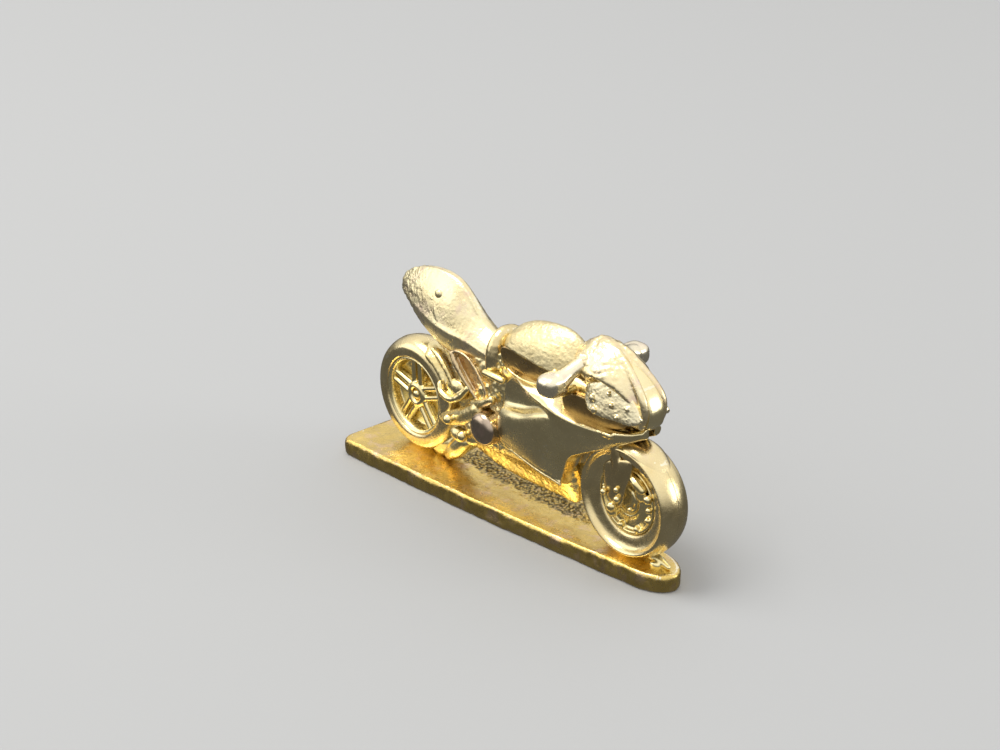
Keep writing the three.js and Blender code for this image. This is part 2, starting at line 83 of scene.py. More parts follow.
low, high = box_of("base_plate")
PLATE_TOP, PLATE_BACK, PLATE_TIP = high[2], low[0], high[0]
PLATE_HALF_BACK = 4.3
PLATE_HALF_FRONT = 1.9
PLATE_BOW = 0.3
PLATE_CORNER = 0.9
TIP_LENGTH = 3.4
SEAM_SIDE = 1.95
SEAM_SLANT = 0.14
EDGE_ROUND = 0.24
low, high = box_of("rear_tyre")
REAR_X, REAR_R = (low[0] + high[0]) / 2, (high[0] - low[0]) / 2
REAR_Z = PLATE_TOP + REAR_R
low, high = box_of("front_tyre")
FRONT_X, FRONT_R = (low[0] + high[0]) / 2, (high[0] - low[0]) / 2
FRONT_Z = PLATE_TOP + FRONT_R


def plate_half(x):
    """Half width: a straight taper plus a sine bow, rounded corners behind, half an ellipse at the tip."""
    tip_start = PLATE_TIP - TIP_LENGTH
    along = (x - PLATE_BACK) / (tip_start - PLATE_BACK)
    sides = PLATE_HALF_BACK + (PLATE_HALF_FRONT - PLATE_HALF_BACK) * along
    sides = sides + PLATE_BOW * np.sin(np.pi * np.clip(along, 0, 1))
    corner = np.clip((PLATE_BACK + PLATE_CORNER - x) / PLATE_CORNER, 0, 1)
    sides = sides - PLATE_CORNER * (1 - np.sqrt(1 - corner ** 2))
    tip = np.clip((x - tip_start) / TIP_LENGTH, 0, 1)
    return np.where(tip > 0, PLATE_HALF_FRONT * np.sqrt(np.clip(1 - tip ** 2, 0, 1)), sides)


def uneven(points, size, seed):
    """Uneven casting between about -1 and 1: the sum of sine waves of chance direction, half to twice
    size long."""
    chance = np.random.default_rng(seed)
    ways = chance.normal(size=(24, 3))
    ways /= np.linalg.norm(ways, axis=1)[:, None]
    lengths = size * 2.0 ** chance.uniform(-1, 1, 24)
    waves = points @ ways.T * (2 * np.pi / lengths)
    return np.sin(waves + chance.uniform(0, 6.28, 24)) @ lengths / size / 6.5


def grid_faces(rows, columns, wrap):
    """Quads of a grid stored row by row; wrap closes each row on itself."""
    r = np.arange(rows - 1)[:, None]
    c = np.arange(columns if wrap else columns - 1)[None, :]
    n = (c + 1) % columns
    quads = np.stack([r * columns + c, r * columns + n, (r + 1) * columns + n, (r + 1) * columns + c], -1)
    return quads.reshape(-1, 4)


def joined(blocks):
    """Several (points, faces) blocks as one."""
    points, faces, base = [], [], 0
    for block, quads in blocks:
        points.append(np.asarray(block).reshape(-1, 3))
        faces.append(np.asarray(quads) + base)
        base += len(points[-1])
    return np.concatenate(points), np.concatenate(faces)


def as_mesh(name, points, faces):
    """A closed mesh from points and faces, doubles merged, faces turned outwards."""
    mesh = bpy.data.meshes.new(name)
    mesh.from_pydata(np.asarray(points).reshape(-1, 3).tolist(), [], np.asarray(faces).tolist())
    work = bmesh.new()
    work.from_mesh(mesh)
    bmesh.ops.remove_doubles(work, verts=work.verts, dist=1e-4)
    bmesh.ops.dissolve_degenerate(work, edges=work.edges, dist=1e-5)
    bmesh.ops.recalc_face_normals(work, faces=work.faces)
    work.to_mesh(mesh)
    work.free()
    return mesh


def make_plate():
    """Rings of the outline, drawn in and raised by a rounded edge profile, and the top and bottom as
    lines across the plate. The top's height takes in the mould seam, the grain below the bike,
    and the swellings where the tyres and the keel's lobe run into it."""
    even = np.linspace(0, 1, 480)
    ease = 0.6 * even + 0.4 * (1 - np.cos(np.pi * even)) / 2
    x = PLATE_BACK + (PLATE_TIP - PLATE_BACK) * ease
    share = np.sin(np.linspace(-np.pi / 2, np.pi / 2, 151))
    half = plate_half(x)
    middle = (PLATE_BACK + PLATE_TIP) / 2

    def level(inset, z, spread):
        squeezed = middle + (x - middle) * (1 - inset / (PLATE_TIP - middle))
        y = spread[None, :] * np.maximum(half - inset, 0)[:, None]
        return np.stack([np.repeat(squeezed[:, None], len(spread), 1), y, np.full(y.shape, z)], -1)

    top = level(EDGE_ROUND, PLATE_TOP, share)
    gx, gy = top[..., 0], top[..., 1]
    inward = np.clip((np.maximum(half - EDGE_ROUND, 0)[:, None] - np.abs(gy)) / 0.5, 0, 1)
    seam = 0.12 * np.exp(-((gy - SEAM_SIDE + SEAM_SLANT * gx) / 0.07) ** 2)
    seam = seam * np.clip((8.4 - np.abs(gx)) * 2, 0, 1)
    below = np.exp(-((gy - 1.2) / 1.2) ** 2) * np.clip((8.5 - np.abs(gx)) / 2, 0, 1)
    pebbles = np.abs(uneven(top, 0.55, 3)) ** 0.7
    grain = pebbles * 0.13 * below + uneven(top, 1.5, 5) * 0.02 + uneven(top, 0.5, 6) * 0.006
    swell = 0.55 * np.exp(-((gx - REAR_X) / 1.5) ** 2 - (gy / 1.0) ** 2)
    swell = swell + 0.5 * np.exp(-((gx - FRONT_X) / 1.6) ** 2 - (gy / 0.85) ** 2)
    swell = swell + 0.35 * np.exp(-((gx - 14.6) / 0.7) ** 2 - (gy / 0.35) ** 2)
    top[..., 2] += (seam + grain) * inward + swell * np.clip(inward * 5, 0, 1)
    rings = [(EDGE_ROUND, 0.0), (0.08, 0.05), (0.02, 0.16), (0.0, PLATE_TOP * 0.3), (0.0, PLATE_TOP * 0.5),
             (0.0, PLATE_TOP * 0.7), (0.01, PLATE_TOP - 0.26), (0.05, PLATE_TOP - 0.13),
             (0.11, PLATE_TOP - 0.05),
             (0.17, PLATE_TOP - 0.015), (EDGE_ROUND, PLATE_TOP)]
    walls = np.stack([np.concatenate([sheet[:, 0], sheet[::-1, 1]])
                      for sheet in (level(inset, z, np.array([-1.0, 1.0])) for inset, z in rings)])
    rough_wall = uneven(walls * (1, 1, 1.5), 1.7, 9) * 0.03 + uneven(walls, 0.55, 10) * 0.02
    walls[1:-1, :, 1] += (rough_wall * np.sign(walls[..., 1]))[1:-1]
    bottom = level(EDGE_ROUND, 0.0, np.array([-1.0, 1.0]))
    return joined([(top, grid_faces(*gx.shape, False)), (bottom, grid_faces(len(x), 2, False)),
                   (walls, grid_faces(len(rings), walls.shape[1], True))])


# One thin gold plating covers the whole miniature. Its tint, the roughness of the casting skin below
# it and how far it is rubbed differ from member to member; some of the darker tints are painted shade.
class Link:
    """A shader socket that takes part in sums; each operator adds a Math node."""

    def __init__(self, shader, socket):
        self.shader, self.socket = shader, socket

    def maths(self, operation, first, second):
        return self.shader.node("ShaderNodeMath", {"operation": operation}, {0: first, 1: second})[0]

    def __add__(self, other):
        return self.maths("ADD", self, other)

    __radd__ = __add__

    def __sub__(self, other):
        return self.maths("SUBTRACT", self, other)

    def __rsub__(self, other):
        return self.maths("SUBTRACT", other, self)

    def __mul__(self, other):
        return self.maths("MULTIPLY", self, other)

    def clamped(self):
        """The value kept between 0 and 1."""
        kept = self.maths("ADD", self, 0.0)
        kept.socket.node.use_clamp = True
        return kept


class Shader:
    """A material and its node tree."""

    def __init__(self, name):
        self.material = bpy.data.materials.new(name)
        self.material.use_nodes = True
        self.tree = self.material.node_tree
        self.bsdf = next(n for n in self.tree.nodes if n.type == "BSDF_PRINCIPLED")

    def put(self, socket, value):
        if isinstance(value, Link):
            self.tree.links.new(value.socket, socket)
        else:
            socket.default_value = value

    def node(self, kind, settings=None, values=None):
        """Adds a node, sets its settings, then its inputs, and returns its outputs as links."""
        made = self.tree.nodes.new(kind)
        for name, value in (settings or {}).items():
            setattr(made, name, value)
        for name, value in (values or {}).items():
            self.put(made.inputs[name], value)
        return [Link(self, socket) for socket in made.outputs]

    def noise(self, place, size, detail=3.0, roughness=0.55):
        """Noise whose blobs are about size millimetres across."""
        return self.node("ShaderNodeTexNoise", {},
                         {"Vector": place, "Scale": 1.0 / (size * MM), "Detail": detail,
                          "Roughness": roughness})[0]

    def mix(self, factor, first, second):
        return self.node("ShaderNodeMix", {"data_type": "RGBA"}, {0: factor, 6: first, 7: second})[2]


def gold(name, colour, deep, rough=0.25, grain=0.01, grain_size=0.1, pits=0.0, rubbed=0.3, blush=0.0,
         strip=None):
    """Plated casting. The tint drifts in clouds from colour to deep; in the hollows it turns dark brown,
    partly patina and partly painted shade, and on the edges pale cream, partly rubbed wear and partly a
    painted highlight; grain is the height in millimetres of its grains, grain_size across; pits adds
    pinholes of that depth; blush is how much rose tint shows in clouds; strip is a rectangle x0, x1,
    y0, y1 left rougher and pebbly, greyed and darkened with painted shade, its pebble gaps painted
    near black as shade."""
    shader = Shader(name)
    place = shader.node("ShaderNodeTexCoord")[3]
    cloud = shader.noise(place, 1.8)
    fine = shader.noise(place, grain_size, 4.0, 0.6)
    coarse = shader.noise(place, grain_size * 5.0, 2.0)
    edge = shader.node("ShaderNodeNewGeometry")[7]
    shade = ((cloud - 0.5) * 1.6 + 0.55 + (fine - 0.5) * 0.6).clamped()
    tint = shader.mix(shade, (*deep, 1.0), (*colour, 1.0))
    # Partly patina, partly painted shade: where the pointiness is low, in hollows and creases, the tint is
    # mixed towards dark brown.
    patina_and_shade = ((0.47 - edge) * 9.0).clamped()
    tint = shader.mix(patina_and_shade, tint, (0.42, 0.27, 0.10, 1.0))
    # Partly rubbed wear, partly painted highlight: where the pointiness is high, on edges and rims, the
    # tint is mixed towards pale cream.
    wear_and_highlight = ((edge - 0.54) * 6.0).clamped()
    tint = shader.mix(wear_and_highlight, tint, (0.98, 0.90, 0.66, 1.0))
    if blush:
        rose = ((shader.noise(place, 1.1) - 0.52) * 5.0 * blush).clamped()
        tint = shader.mix(rose, tint, (0.74, 0.52, 0.44, 1.0))
    dull_and_shaded = 0.0
    if strip:
        x, y = shader.node("ShaderNodeSeparateXYZ", {}, {0: place})[:2]
        x, y = x * (1.0 / MM) + (coarse - 0.5) * 3.0, y * (1.0 / MM) + (coarse - 0.5) * 1.5
        dull_and_shaded = (((x - strip[0]) * 0.7).clamped() * ((strip[1] - x) * 0.7).clamped()
                * ((y - strip[2]) * 3.0).clamped() * ((strip[3] - y) * 3.0).clamped())
        pebbles = shader.node("ShaderNodeTexVoronoi", {}, {"Vector": place, "Scale": 1.0 / (0.26 * MM)})[0]
        # Painted shade: inside the strip the tint is greyed and darkened, and the gaps between the pebbles
        # are painted near black.
        tint = shader.mix(dull_and_shaded * 0.4, tint, (0.56, 0.46, 0.24, 1.0))
        tint = shader.mix(dull_and_shaded * ((pebbles - 0.35) * 3.5).clamped(), tint, (0.16, 0.12, 0.05, 1.0))
    shader.put(shader.bsdf.inputs["Base Color"], tint)
    shader.bsdf.inputs["Metallic"].default_value = 1.0
    worn = dull_and_shaded * 0.1 + ((coarse - 0.5) * rubbed + rough + (fine - 0.5) * 0.15 - wear_and_highlight * 0.08).clamped()
    shader.put(shader.bsdf.inputs["Roughness"], worn)
    height = fine + coarse * 1.5
    if strip:
        height = height - pebbles * dull_and_shaded * 9.0
    if pits:
        spots = shader.node("ShaderNodeTexVoronoi", {}, {"Vector": place, "Scale": 1.0 / (0.45 * MM)})[0]
        height = height - (0.25 - spots).clamped() * (pits / grain)
    bump = shader.node("ShaderNodeBump", {}, {"Height": height, "Distance": grain * MM})[0]
    shader.put(shader.bsdf.inputs["Normal"], bump)
    return shader.material


def as_piece(name, mesh, material, nodes):
    """Turns a mesh in millimetres into a piece of the miniature that stands for the nodes, if any."""
    points = np.empty(len(mesh.vertices) * 3)
    mesh.vertices.foreach_get("co", points)
    mesh.vertices.foreach_set("co", points * MM)
    mesh.shade_smooth()
    mesh.materials.clear()
    mesh.materials.append(material)
    mesh.update()
    piece = bpy.data.objects.new(name, mesh)
    bpy.context.scene.collection.objects.link(piece)
    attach(piece, "root")
    if nodes:
        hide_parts(*nodes)
    return piece


# The strip below the bike gets painted shade as well as a rougher, pebbly skin.
plate_gold = gold("plate_gold", (0.84, 0.61, 0.19), (0.54, 0.38, 0.11), 0.28, 0.016, 0.10, pits=0.03,
                  rubbed=0.3, blush=0.5,
                  strip=(-8.6, 7.2, 0.1, 2.6))
as_piece("plate", as_mesh("plate", *make_plate()), plate_gold, ["base_plate"])


# ---- Rear wheel ----------------------------------------------------------------------------------
# A fat tyre cast as one ring with its rim and a blind disc; on each side five twin-bar spokes run
# out from a raised hub with a round nut. Polished on the tyre's shoulders only.
def curve_between(a, b, c, d, f):
    """Catmull-Rom curve from b to c, with a before and d after them, at share f of the way."""
    return 0.5 * (2 * b + (c - a) * f + (2 * a - 5 * b + 4 * c - d) * f ** 2
                  + (3 * b - a - 3 * c + d) * f ** 3)


def smooth_between(values, t):
    """Catmull-Rom curve through the rows of values, at parameters t counted in rows."""
    rows = np.concatenate([2 * values[:1] - values[1:2], values, 2 * values[-1:] - values[-2:-1]])
    i = np.clip(np.floor(t).astype(int), 0, len(values) - 2)
    f = (t - i).reshape((-1,) + (1,) * (values.ndim - 1))
    return curve_between(rows[i], rows[i + 1], rows[i + 2], rows[i + 3], f)


def ring_of(profile, x, z, count=60, steps=160, closed=True):
    """A smooth line of count points through the (radius, y) points, turned about the axle through
    x, z; closed joins its ends."""
    profile = np.asarray(profile, float)
    profile = smooth_between(profile, np.linspace(0, len(profile) - 1, count))
    angle = np.linspace(0, 2 * np.pi, steps, endpoint=False)
    radius, side = np.maximum(profile[:, 0], 0)[:, None], profile[:, 1][:, None]
    points = np.stack([x + radius * np.cos(angle), np.broadcast_to(side, (count, steps)),
                       z + radius * np.sin(angle)], -1)
    if closed:
        points = np.concatenate([points, points[:1]])
    return points, grid_faces(len(points), steps, True)


def both_sides(profile):
    """A (radius, y) profile followed by its mirror image."""
    return profile + [(r, -y) for r, y in reversed(profile)]


def flipped(points):
    """The points mirrored from one side of the motorcycle to the other."""
    return np.asarray(points) * (1, -1, 1)


def tube(path, radii, around=14, steps=24):
    """A round section whose radius follows radii, carried along a smooth path and closed by round ends."""
    path = np.asarray(path, float)
    centre = smooth_between(path, np.linspace(0, len(path) - 1, steps))
    radius = smooth_between(np.asarray(radii, float)[:, None], np.linspace(0, len(radii) - 1, steps))[:, 0]
    ahead = np.gradient(centre, axis=0)
    ahead /= np.linalg.norm(ahead, axis=1)[:, None]
    side = np.cross(ahead, (0.1, 0.2, 1.0))
    side /= np.linalg.norm(side, axis=1)[:, None]
    over = np.cross(side, ahead)
    lift, reach = np.sin(np.linspace(0, np.pi / 2, 6)), np.cos(np.linspace(0, np.pi / 2, 6))
    centre = np.concatenate([centre[0] - ahead[0] * (reach * radius[0])[:, None], centre[1:-1],
                             centre[-1] + ahead[-1] * (reach[::-1] * radius[-1])[:, None]])
    radius = np.concatenate([lift * radius[0], radius[1:-1], lift[::-1] * radius[-1]])
    side = np.concatenate([np.repeat(side[:1], 6, 0), side[1:-1], np.repeat(side[-1:], 6, 0)])
    over = np.concatenate([np.repeat(over[:1], 6, 0), over[1:-1], np.repeat(over[-1:], 6, 0)])
    angle = np.linspace(0, 2 * np.pi, around, endpoint=False)[None, :, None]
    spread = side[:, None] * np.cos(angle) + over[:, None] * np.sin(angle)
    points = centre[:, None] + radius[:, None, None] * spread
    return points, grid_faces(len(centre), around, True)


def lump(centre, radii, square=1.0, around=28, rows=16):
    """A ball stretched to radii along X, Y and Z; square below 1 fills it out towards a box."""
    polar = np.linspace(0, np.pi, rows)[:, None]
    angle = np.linspace(0, 2 * np.pi, around, endpoint=False)[None, :]
    unit = np.stack([np.sin(polar) * np.cos(angle), np.sin(polar) * np.sin(angle),
                     np.broadcast_to(np.cos(polar), (rows, around))], -1)
    unit = np.sign(unit) * np.abs(unit) ** square
    unit[[0, -1]] = unit[[0, -1]] * (0, 0, 1)
    return np.asarray(centre) + unit * radii, grid_faces(rows, around, True)


def worked(mesh, kind, **settings):
    """The mesh with one modifier applied."""
    bench = bpy.data.objects.new("bench", mesh)
    bpy.context.scene.collection.objects.link(bench)
    modifier = bench.modifiers.new(kind, kind)
    for name, value in settings.items():
        setattr(modifier, name, value)
    result = bpy.data.meshes.new_from_object(bench.evaluated_get(bpy.context.evaluated_depsgraph_get()))
    bpy.data.objects.remove(bench)
    return result


def run_together(blocks, voxel=0.07, soften=3, grain=0.0, size=0.35, seed=1, where=None):
    """Overlapping closed blocks fused as metal runs together in a mould: one even skin over them all,
    softened; then each point moves along its normal by grain millimetres of unevenness, weighted
    by where(points)."""
    mesh = worked(as_mesh("cast", *joined(blocks)), "REMESH", mode="VOXEL", voxel_size=voxel)
    mesh = worked(mesh, "SMOOTH", factor=0.5, iterations=soften)
    if grain:
        points = np.empty(len(mesh.vertices) * 3)
        normals = np.empty(len(mesh.vertices) * 3)
        mesh.vertices.foreach_get("co", points)
        mesh.vertex_normals.foreach_get("vector", normals)
        points, normals = points.reshape(-1, 3), normals.reshape(-1, 3)
        rise = grain * (0.6 * uneven(points, size, seed) + 0.4 * uneven(points, size * 0.45, seed + 1))
        if where is not None:
            rise = rise * where(points)
        mesh.vertices.foreach_set("co", (points + normals * rise[:, None]).ravel())
    return mesh


def casting(name, node, blocks, material, slot, **settings):
    """A casting on the middle plane, standing for one node."""
    as_piece(name, run_together(blocks, **settings), material, [node])


def pair(name, node, blocks, material, slot, **settings):
    """The right-hand casting and its mirror image on the left. Each stands for the node of its side;
    without a node it is a dark sheet of painted shade that stands for none."""
    for side in ("right", "left"):
        turned = blocks if side == "right" else [(flipped(points), faces) for points, faces in blocks]
        mesh = run_together(turned, **settings)
        work = bmesh.new()
        work.from_mesh(mesh)
        bmesh.ops.recalc_face_normals(work, faces=work.faces)
        work.to_mesh(mesh)
        work.free()
        nodes = [f"{node}_{side}"] if node else []
        as_piece(f"{name}_{side}", mesh, material, nodes)


def turned_piece(name, node, profile, x, z, material, **settings):
    """A wheel part turned about the axle through x, z, the same on both sides."""
    mesh = as_mesh(name, *ring_of(both_sides(profile), x, z, **settings))
    as_piece(name, mesh, material, [node])


tyre_gold = gold("tyre_gold", (0.88, 0.74, 0.42), (0.74, 0.58, 0.28), 0.24, 0.008, 0.12, rubbed=0.25)
well_gold = gold("well_gold", (0.95, 0.84, 0.48), (0.88, 0.72, 0.34), 0.26, 0.010, 0.12, rubbed=0.2)
spoke_gold = gold("spoke_gold", (0.95, 0.82, 0.46), (0.86, 0.68, 0.28), 0.22, 0.008, 0.12, rubbed=0.2)
REAR_WALL = [(3.10, -0.9), (3.16, -1.22), (3.34, -1.38), (3.7, -1.40), (4.0, -1.34), (4.3, -1.12),
             (4.52, -0.72), (4.63, -0.3), (REAR_R, 0.0)]
turned_piece("rear_tyre_ring", "rear_tyre", REAR_WALL, REAR_X, REAR_Z, tyre_gold)
REAR_RIM = [(0.0, -0.3), (1.5, -0.3), (2.5, -0.32), (2.72, -0.42), (2.78, -0.8), (2.86, -1.12),
            (3.0, -1.22),
            (3.14, -1.1)]
turned_piece("rear_rim_ring", "rear_rim", REAR_RIM, REAR_X, REAR_Z, well_gold, count=50, closed=False)
SPOKES = 5
SPOKE_TURN = math.radians(164)
HUB = [(0.0, -0.72), (0.42, -0.72), (0.5, -1.0), (0.74, -1.14), (0.98, -1.0), (1.1, -0.6), (1.1, -0.2)]
star = [ring_of(HUB + [(0.0, -0.2)], REAR_X, REAR_Z, 40, 60, False)]
for i in range(SPOKES):
    turn_by = SPOKE_TURN + 2 * math.pi * i / SPOKES
    out = np.array([math.cos(turn_by), 0.0, math.sin(turn_by)])
    beside = np.array([-math.sin(turn_by), 0.0, math.cos(turn_by)])
    for offset in (-0.38, 0.38):
        start = np.array([REAR_X, -0.72, REAR_Z]) + beside * offset
        star.append(tube([start + out * 0.6, start + out * 1.7, start + out * 2.9], [0.27, 0.26, 0.29], 12,
                         10))
pair("rear_star", "rear_spokes", star, spoke_gold, "wheel_gold", voxel=0.06, soften=2)
pair("rear_nut", "rear_axle_nut", [lump((REAR_X, -0.82, REAR_Z), (0.38, 0.34, 0.38), 0.8)],
     spoke_gold, "wheel_gold", voxel=0.05, soften=1)


# ---- Front wheel ---------------------------------------------------------------------------------
# A tyre with a raised bead on its wall, a sunk wall down to the brake disc, and on the disc a ring
# of round rivets about the fork's end. All one casting with the fork.
FRONT_WALL = [(2.62, -0.55), (2.75, -0.72), (3.0, -0.80), (3.3, -0.86), (3.6, -0.98), (3.8, -1.24),
              (3.98, -1.33), (4.12, -1.2), (4.22, -0.98), (4.33, -0.7), (4.4, -0.35), (FRONT_R, 0.0)]
turned_piece("front_tyre_ring", "front_tyre", FRONT_WALL, FRONT_X, FRONT_Z, tyre_gold, count=76)
FRONT_RIM = [(0.0, -0.15), (2.5, -0.2), (2.66, -0.5), (2.74, -0.62), (2.86, -0.4)]
turned_piece("front_rim_ring", "front_rim", FRONT_RIM, FRONT_X, FRONT_Z, well_gold, count=40, closed=False)
RIVETS = 9
disc = [ring_of([(0.0, -0.62), (0.7, -0.62), (0.95, -0.5), (1.25, -0.66), (1.5, -0.5), (2.1, -0.42),
                 (2.3, -0.52), (2.45, -0.68), (2.6, -0.62), (2.62, -0.3), (2.4, -0.1), (0.0, -0.1)],
                FRONT_X, FRONT_Z, 90, 120, False)]
for i in range(RIVETS):
    angle = 2 * math.pi * i / RIVETS + 0.3
    disc.append(lump((FRONT_X + 2.2 * math.cos(angle), -0.6, FRONT_Z + 2.2 * math.sin(angle)),
                     (0.24, 0.28, 0.24)))
pair("front_disc_plate", "front_brake_disc", disc, spoke_gold, "wheel_gold", voxel=0.06, soften=1)


def with_ends(rings):
    """The rings with both open ends drawn in to their middles."""
    first = np.broadcast_to(rings[0].mean(0), rings[0].shape)
    last = np.broadcast_to(rings[-1].mean(0), rings[-1].shape)
    return np.concatenate([first[None], rings, last[None]])


def skin(stations, along=8, around=5):
    """A closed skin through rings of points: Catmull-Rom curves round each ring and from ring to
    ring; an open end is closed by drawing it in to its middle."""
    net = np.asarray(stations, float)
    count = net.shape[1]
    t = np.linspace(0, count, count * around, endpoint=False)
    i, f = np.floor(t).astype(int), (t % 1)[None, :, None]
    a, b, c, d = (net[:, (i + k) % count] for k in (-1, 0, 1, 2))
    rings = smooth_between(curve_between(a, b, c, d, f),
                           np.linspace(0, len(net) - 1, (len(net) - 1) * along + 1))
    rings = with_ends(rings)
    return rings, grid_faces(len(rings), rings.shape[1], True)


def rings_at(table):
    """Stations from (x, half section) rows, each half going from the bottom middle round one side to the
    top middle as (y, z); the other side is its mirror image."""
    return [[(x, -y, z) for y, z in half] + [(x, y, z) for y, z in half[-2:0:-1]] for x, half in table]


def side_rings(table):
    """Stations of a right-hand piece from (x, ring), each ring closed, as (outward, z)."""
    return [[(x, -y, z) for y, z in ring] for x, ring in table]


def plaque(outline, side, bulge, depth, lean=(0.0, 0.0), count=72, rows=12):
    """A crowned plate lying on the right side: a smooth closed outline of (x, z) points drawn in to
    its middle, standing out from side by bulge * sqrt(1 - r^2), with its back depth further in;
    lean tilts it outwards per millimetre of x and of z."""
    outline = np.asarray(outline, float)
    loop = np.concatenate([outline[-1:], outline, outline[:2]])
    loop = smooth_between(loop, np.linspace(1, len(outline) + 1, count, endpoint=False))
    middle = loop.mean(0)
    r = np.sin(np.linspace(0, np.pi / 2, rows))[:, None, None]
    flat = middle + (loop - middle)[None] * r
    crown = bulge * np.sqrt(np.clip(1 - r[..., 0] ** 2, 0, 1)) * np.ones((1, count))
    slope = (flat - middle) @ np.array(lean)
    front = np.stack([flat[..., 0], -(side + crown + slope), flat[..., 1]], -1)
    behind = np.stack([flat[..., 0], -(side - depth + slope), flat[..., 1]], -1)
    rings = np.concatenate([front, behind[::-1]])
    return rings, grid_faces(len(rings), count, True)


# ---- Fork and front fender -----------------------------------------------------------------------
# Smooth blade covers come down from under the nose to the axle on both sides of the front wheel,
# with lugs for the brake calliper ahead of them; a short fender hugs the tyre between them.
fork_gold = gold("fork_gold", (0.74, 0.60, 0.32), (0.60, 0.46, 0.22), 0.22, 0.006, 0.15, rubbed=0.2)
fork = [plaque([(10.3, 8.3), (11.6, 9.0), (12.9, 9.3), (12.85, 8.2), (12.35, 6.9), (11.9, 5.5),
                (11.25, 4.95), (10.5, 5.5),
                (10.1, 7.0)], 1.12, 0.28, 0.6, (0.0, 0.05)),
        tube([(10.9, -0.85, 10.6), (11.3, -0.95, 9.0), (11.6, -0.9, 7.2), (11.5, -0.8, 6.2)],
             [0.5, 0.5, 0.45, 0.4])]
pair("fork_blade", "fork_leg", fork, fork_gold, "polished_gold", voxel=0.07, soften=3)
lugs = [tube([(12.85, -0.95, 7.85), (13.3, -1.0, 7.6), (13.75, -0.95, 7.3)], [0.3, 0.36, 0.32]),
        lump((14.17, -0.8, 6.7), (0.36, 0.34, 0.34)), lump((14.3, -0.75, 5.9), (0.26, 0.3, 0.24)),
        lump((13.3, -0.62, 6.9), (0.6, 0.3, 0.8))]
pair("calliper_lugs", "front_caliper", lugs, spoke_gold, "wheel_gold", voxel=0.06, soften=2)
nut = [lump((FRONT_X + x, y, FRONT_Z + z), (r, r, r)) for x, y, z, r in
       [(-1.6, -1.42, 0.3, 0.26), (-0.3, -1.45, 0.95, 0.22), (-0.25, -1.4, 0.2, 0.28),
        (-0.8, -1.35, -0.6, 0.4),
        (0.6, -0.95, -0.45, 0.2), (-1.0, -1.0, -1.1, 0.5)]]
pair("front_axle_end", "front_axle_nut", nut, spoke_gold, "wheel_gold", voxel=0.06, soften=2)


def fender(x, z, inner, start, end, half, wall, fade=0.25):
    """A shell over the tyre: a rounded channel section of radius inner, wall thick and half wide,
    turned about the axle from start to end degrees, thinned out over fade radians at both ends."""
    angle = np.radians(np.linspace(start, end, 60))[:, None]
    ends = np.clip(np.minimum(angle - angle[0], angle[-1] - angle) / fade, 0, 1)
    ends = ends * ends * (3 - 2 * ends)
    across = np.linspace(-1, 1, 25)[None, :]
    crown = inner - 0.55 * np.abs(across) ** 3
    width = half * (0.75 + 0.25 * ends)
    sheets = []
    for extra in (wall, -0.35):
        radius = crown + (extra * ends if extra > 0 else extra)
        sheets.append(np.stack([x + radius * np.cos(angle), width * across * np.ones_like(angle),
                                z + radius * np.sin(angle)], -1))
    loop = with_ends(np.concatenate([sheets[0], sheets[1][:, ::-1]], 1))
    return loop, grid_faces(len(loop), loop.shape[1], True)


guard = [fender(FRONT_X, FRONT_Z, FRONT_R - 0.1, 30, 125, 1.3, 0.34, 0.8)]
fender_gold = gold("fender_gold", (0.88, 0.74, 0.42), (0.74, 0.58, 0.30), 0.24, 0.008, 0.12, rubbed=0.25,
                   blush=0.4)
casting("front_guard", "front_fender", guard, fender_gold, "polished_gold", voxel=0.07, soften=3)


# ---- Engine core and belly -----------------------------------------------------------------------
# The grainy middle of the casting that the smooth side panels close over, and the lower fairing,
# a V that ends in a narrow keel above the plate, bare and golden towards the front wheel.
core_gold = gold("core_gold", (0.95, 0.82, 0.46), (0.80, 0.62, 0.26), 0.28, 0.014, 0.10, rubbed=0.3,
                 pits=0.03)
belly_gold = gold("belly_gold", (0.96, 0.84, 0.46), (0.90, 0.74, 0.34), 0.24, 0.006, 0.14, rubbed=0.2)
CORE_RINGS = [
    (-5.6, [(0, 6.2), (0.8, 6.3), (1.0, 7.5), (0.8, 8.6), (0.5, 8.75), (0, 8.8)]),
    (-4.0, [(0, 5.0), (1.1, 5.2), (1.35, 7.4), (1.1, 9.4), (0.7, 9.9), (0, 10.0)]),
    (-2.0, [(0, 4.6), (1.4, 5.0), (1.65, 7.6), (1.35, 10.6), (1.0, 11.4), (0, 11.6)]),
    (-0.6, [(0, 4.6), (1.5, 5.2), (1.75, 8.0), (1.55, 12.0), (1.3, 13.2), (0, 13.4)]),
    (3.0, [(0, 4.6), (1.5, 5.4), (1.6, 8.4), (1.5, 12.0), (1.4, 13.6), (0, 13.9)]),
    (6.0, [(0, 4.8), (1.3, 5.6), (1.6, 8.6), (1.5, 12.2), (1.2, 13.6), (0, 13.8)]),
    (8.6, [(0, 9.6), (1.1, 9.8), (1.4, 10.8), (1.3, 12.2), (1.0, 13.2), (0, 13.4)]),
    (10.6, [(0, 10.2), (0.9, 10.3), (1.1, 11.0), (0.9, 12.0), (0.6, 12.5), (0, 12.6)])]
core = [skin(rings_at(CORE_RINGS))]
as_piece("engine_core", run_together(core, 0.09, 2, grain=0.08, size=0.5, seed=21,
                                     where=lambda p: np.clip(0.8 - p[:, 0], 0.06, 1)), core_gold,
         ["engine_block"])
KEEL = [(-5.6, 3.95), (-4.6, 3.6), (-3.3, 3.3), (-1.5, 3.03), (1.0, 2.97), (3.0, 3.05), (4.6, 3.1),
        (6.2, 3.1),
        (6.9, 3.6), (7.15, 5.0)]
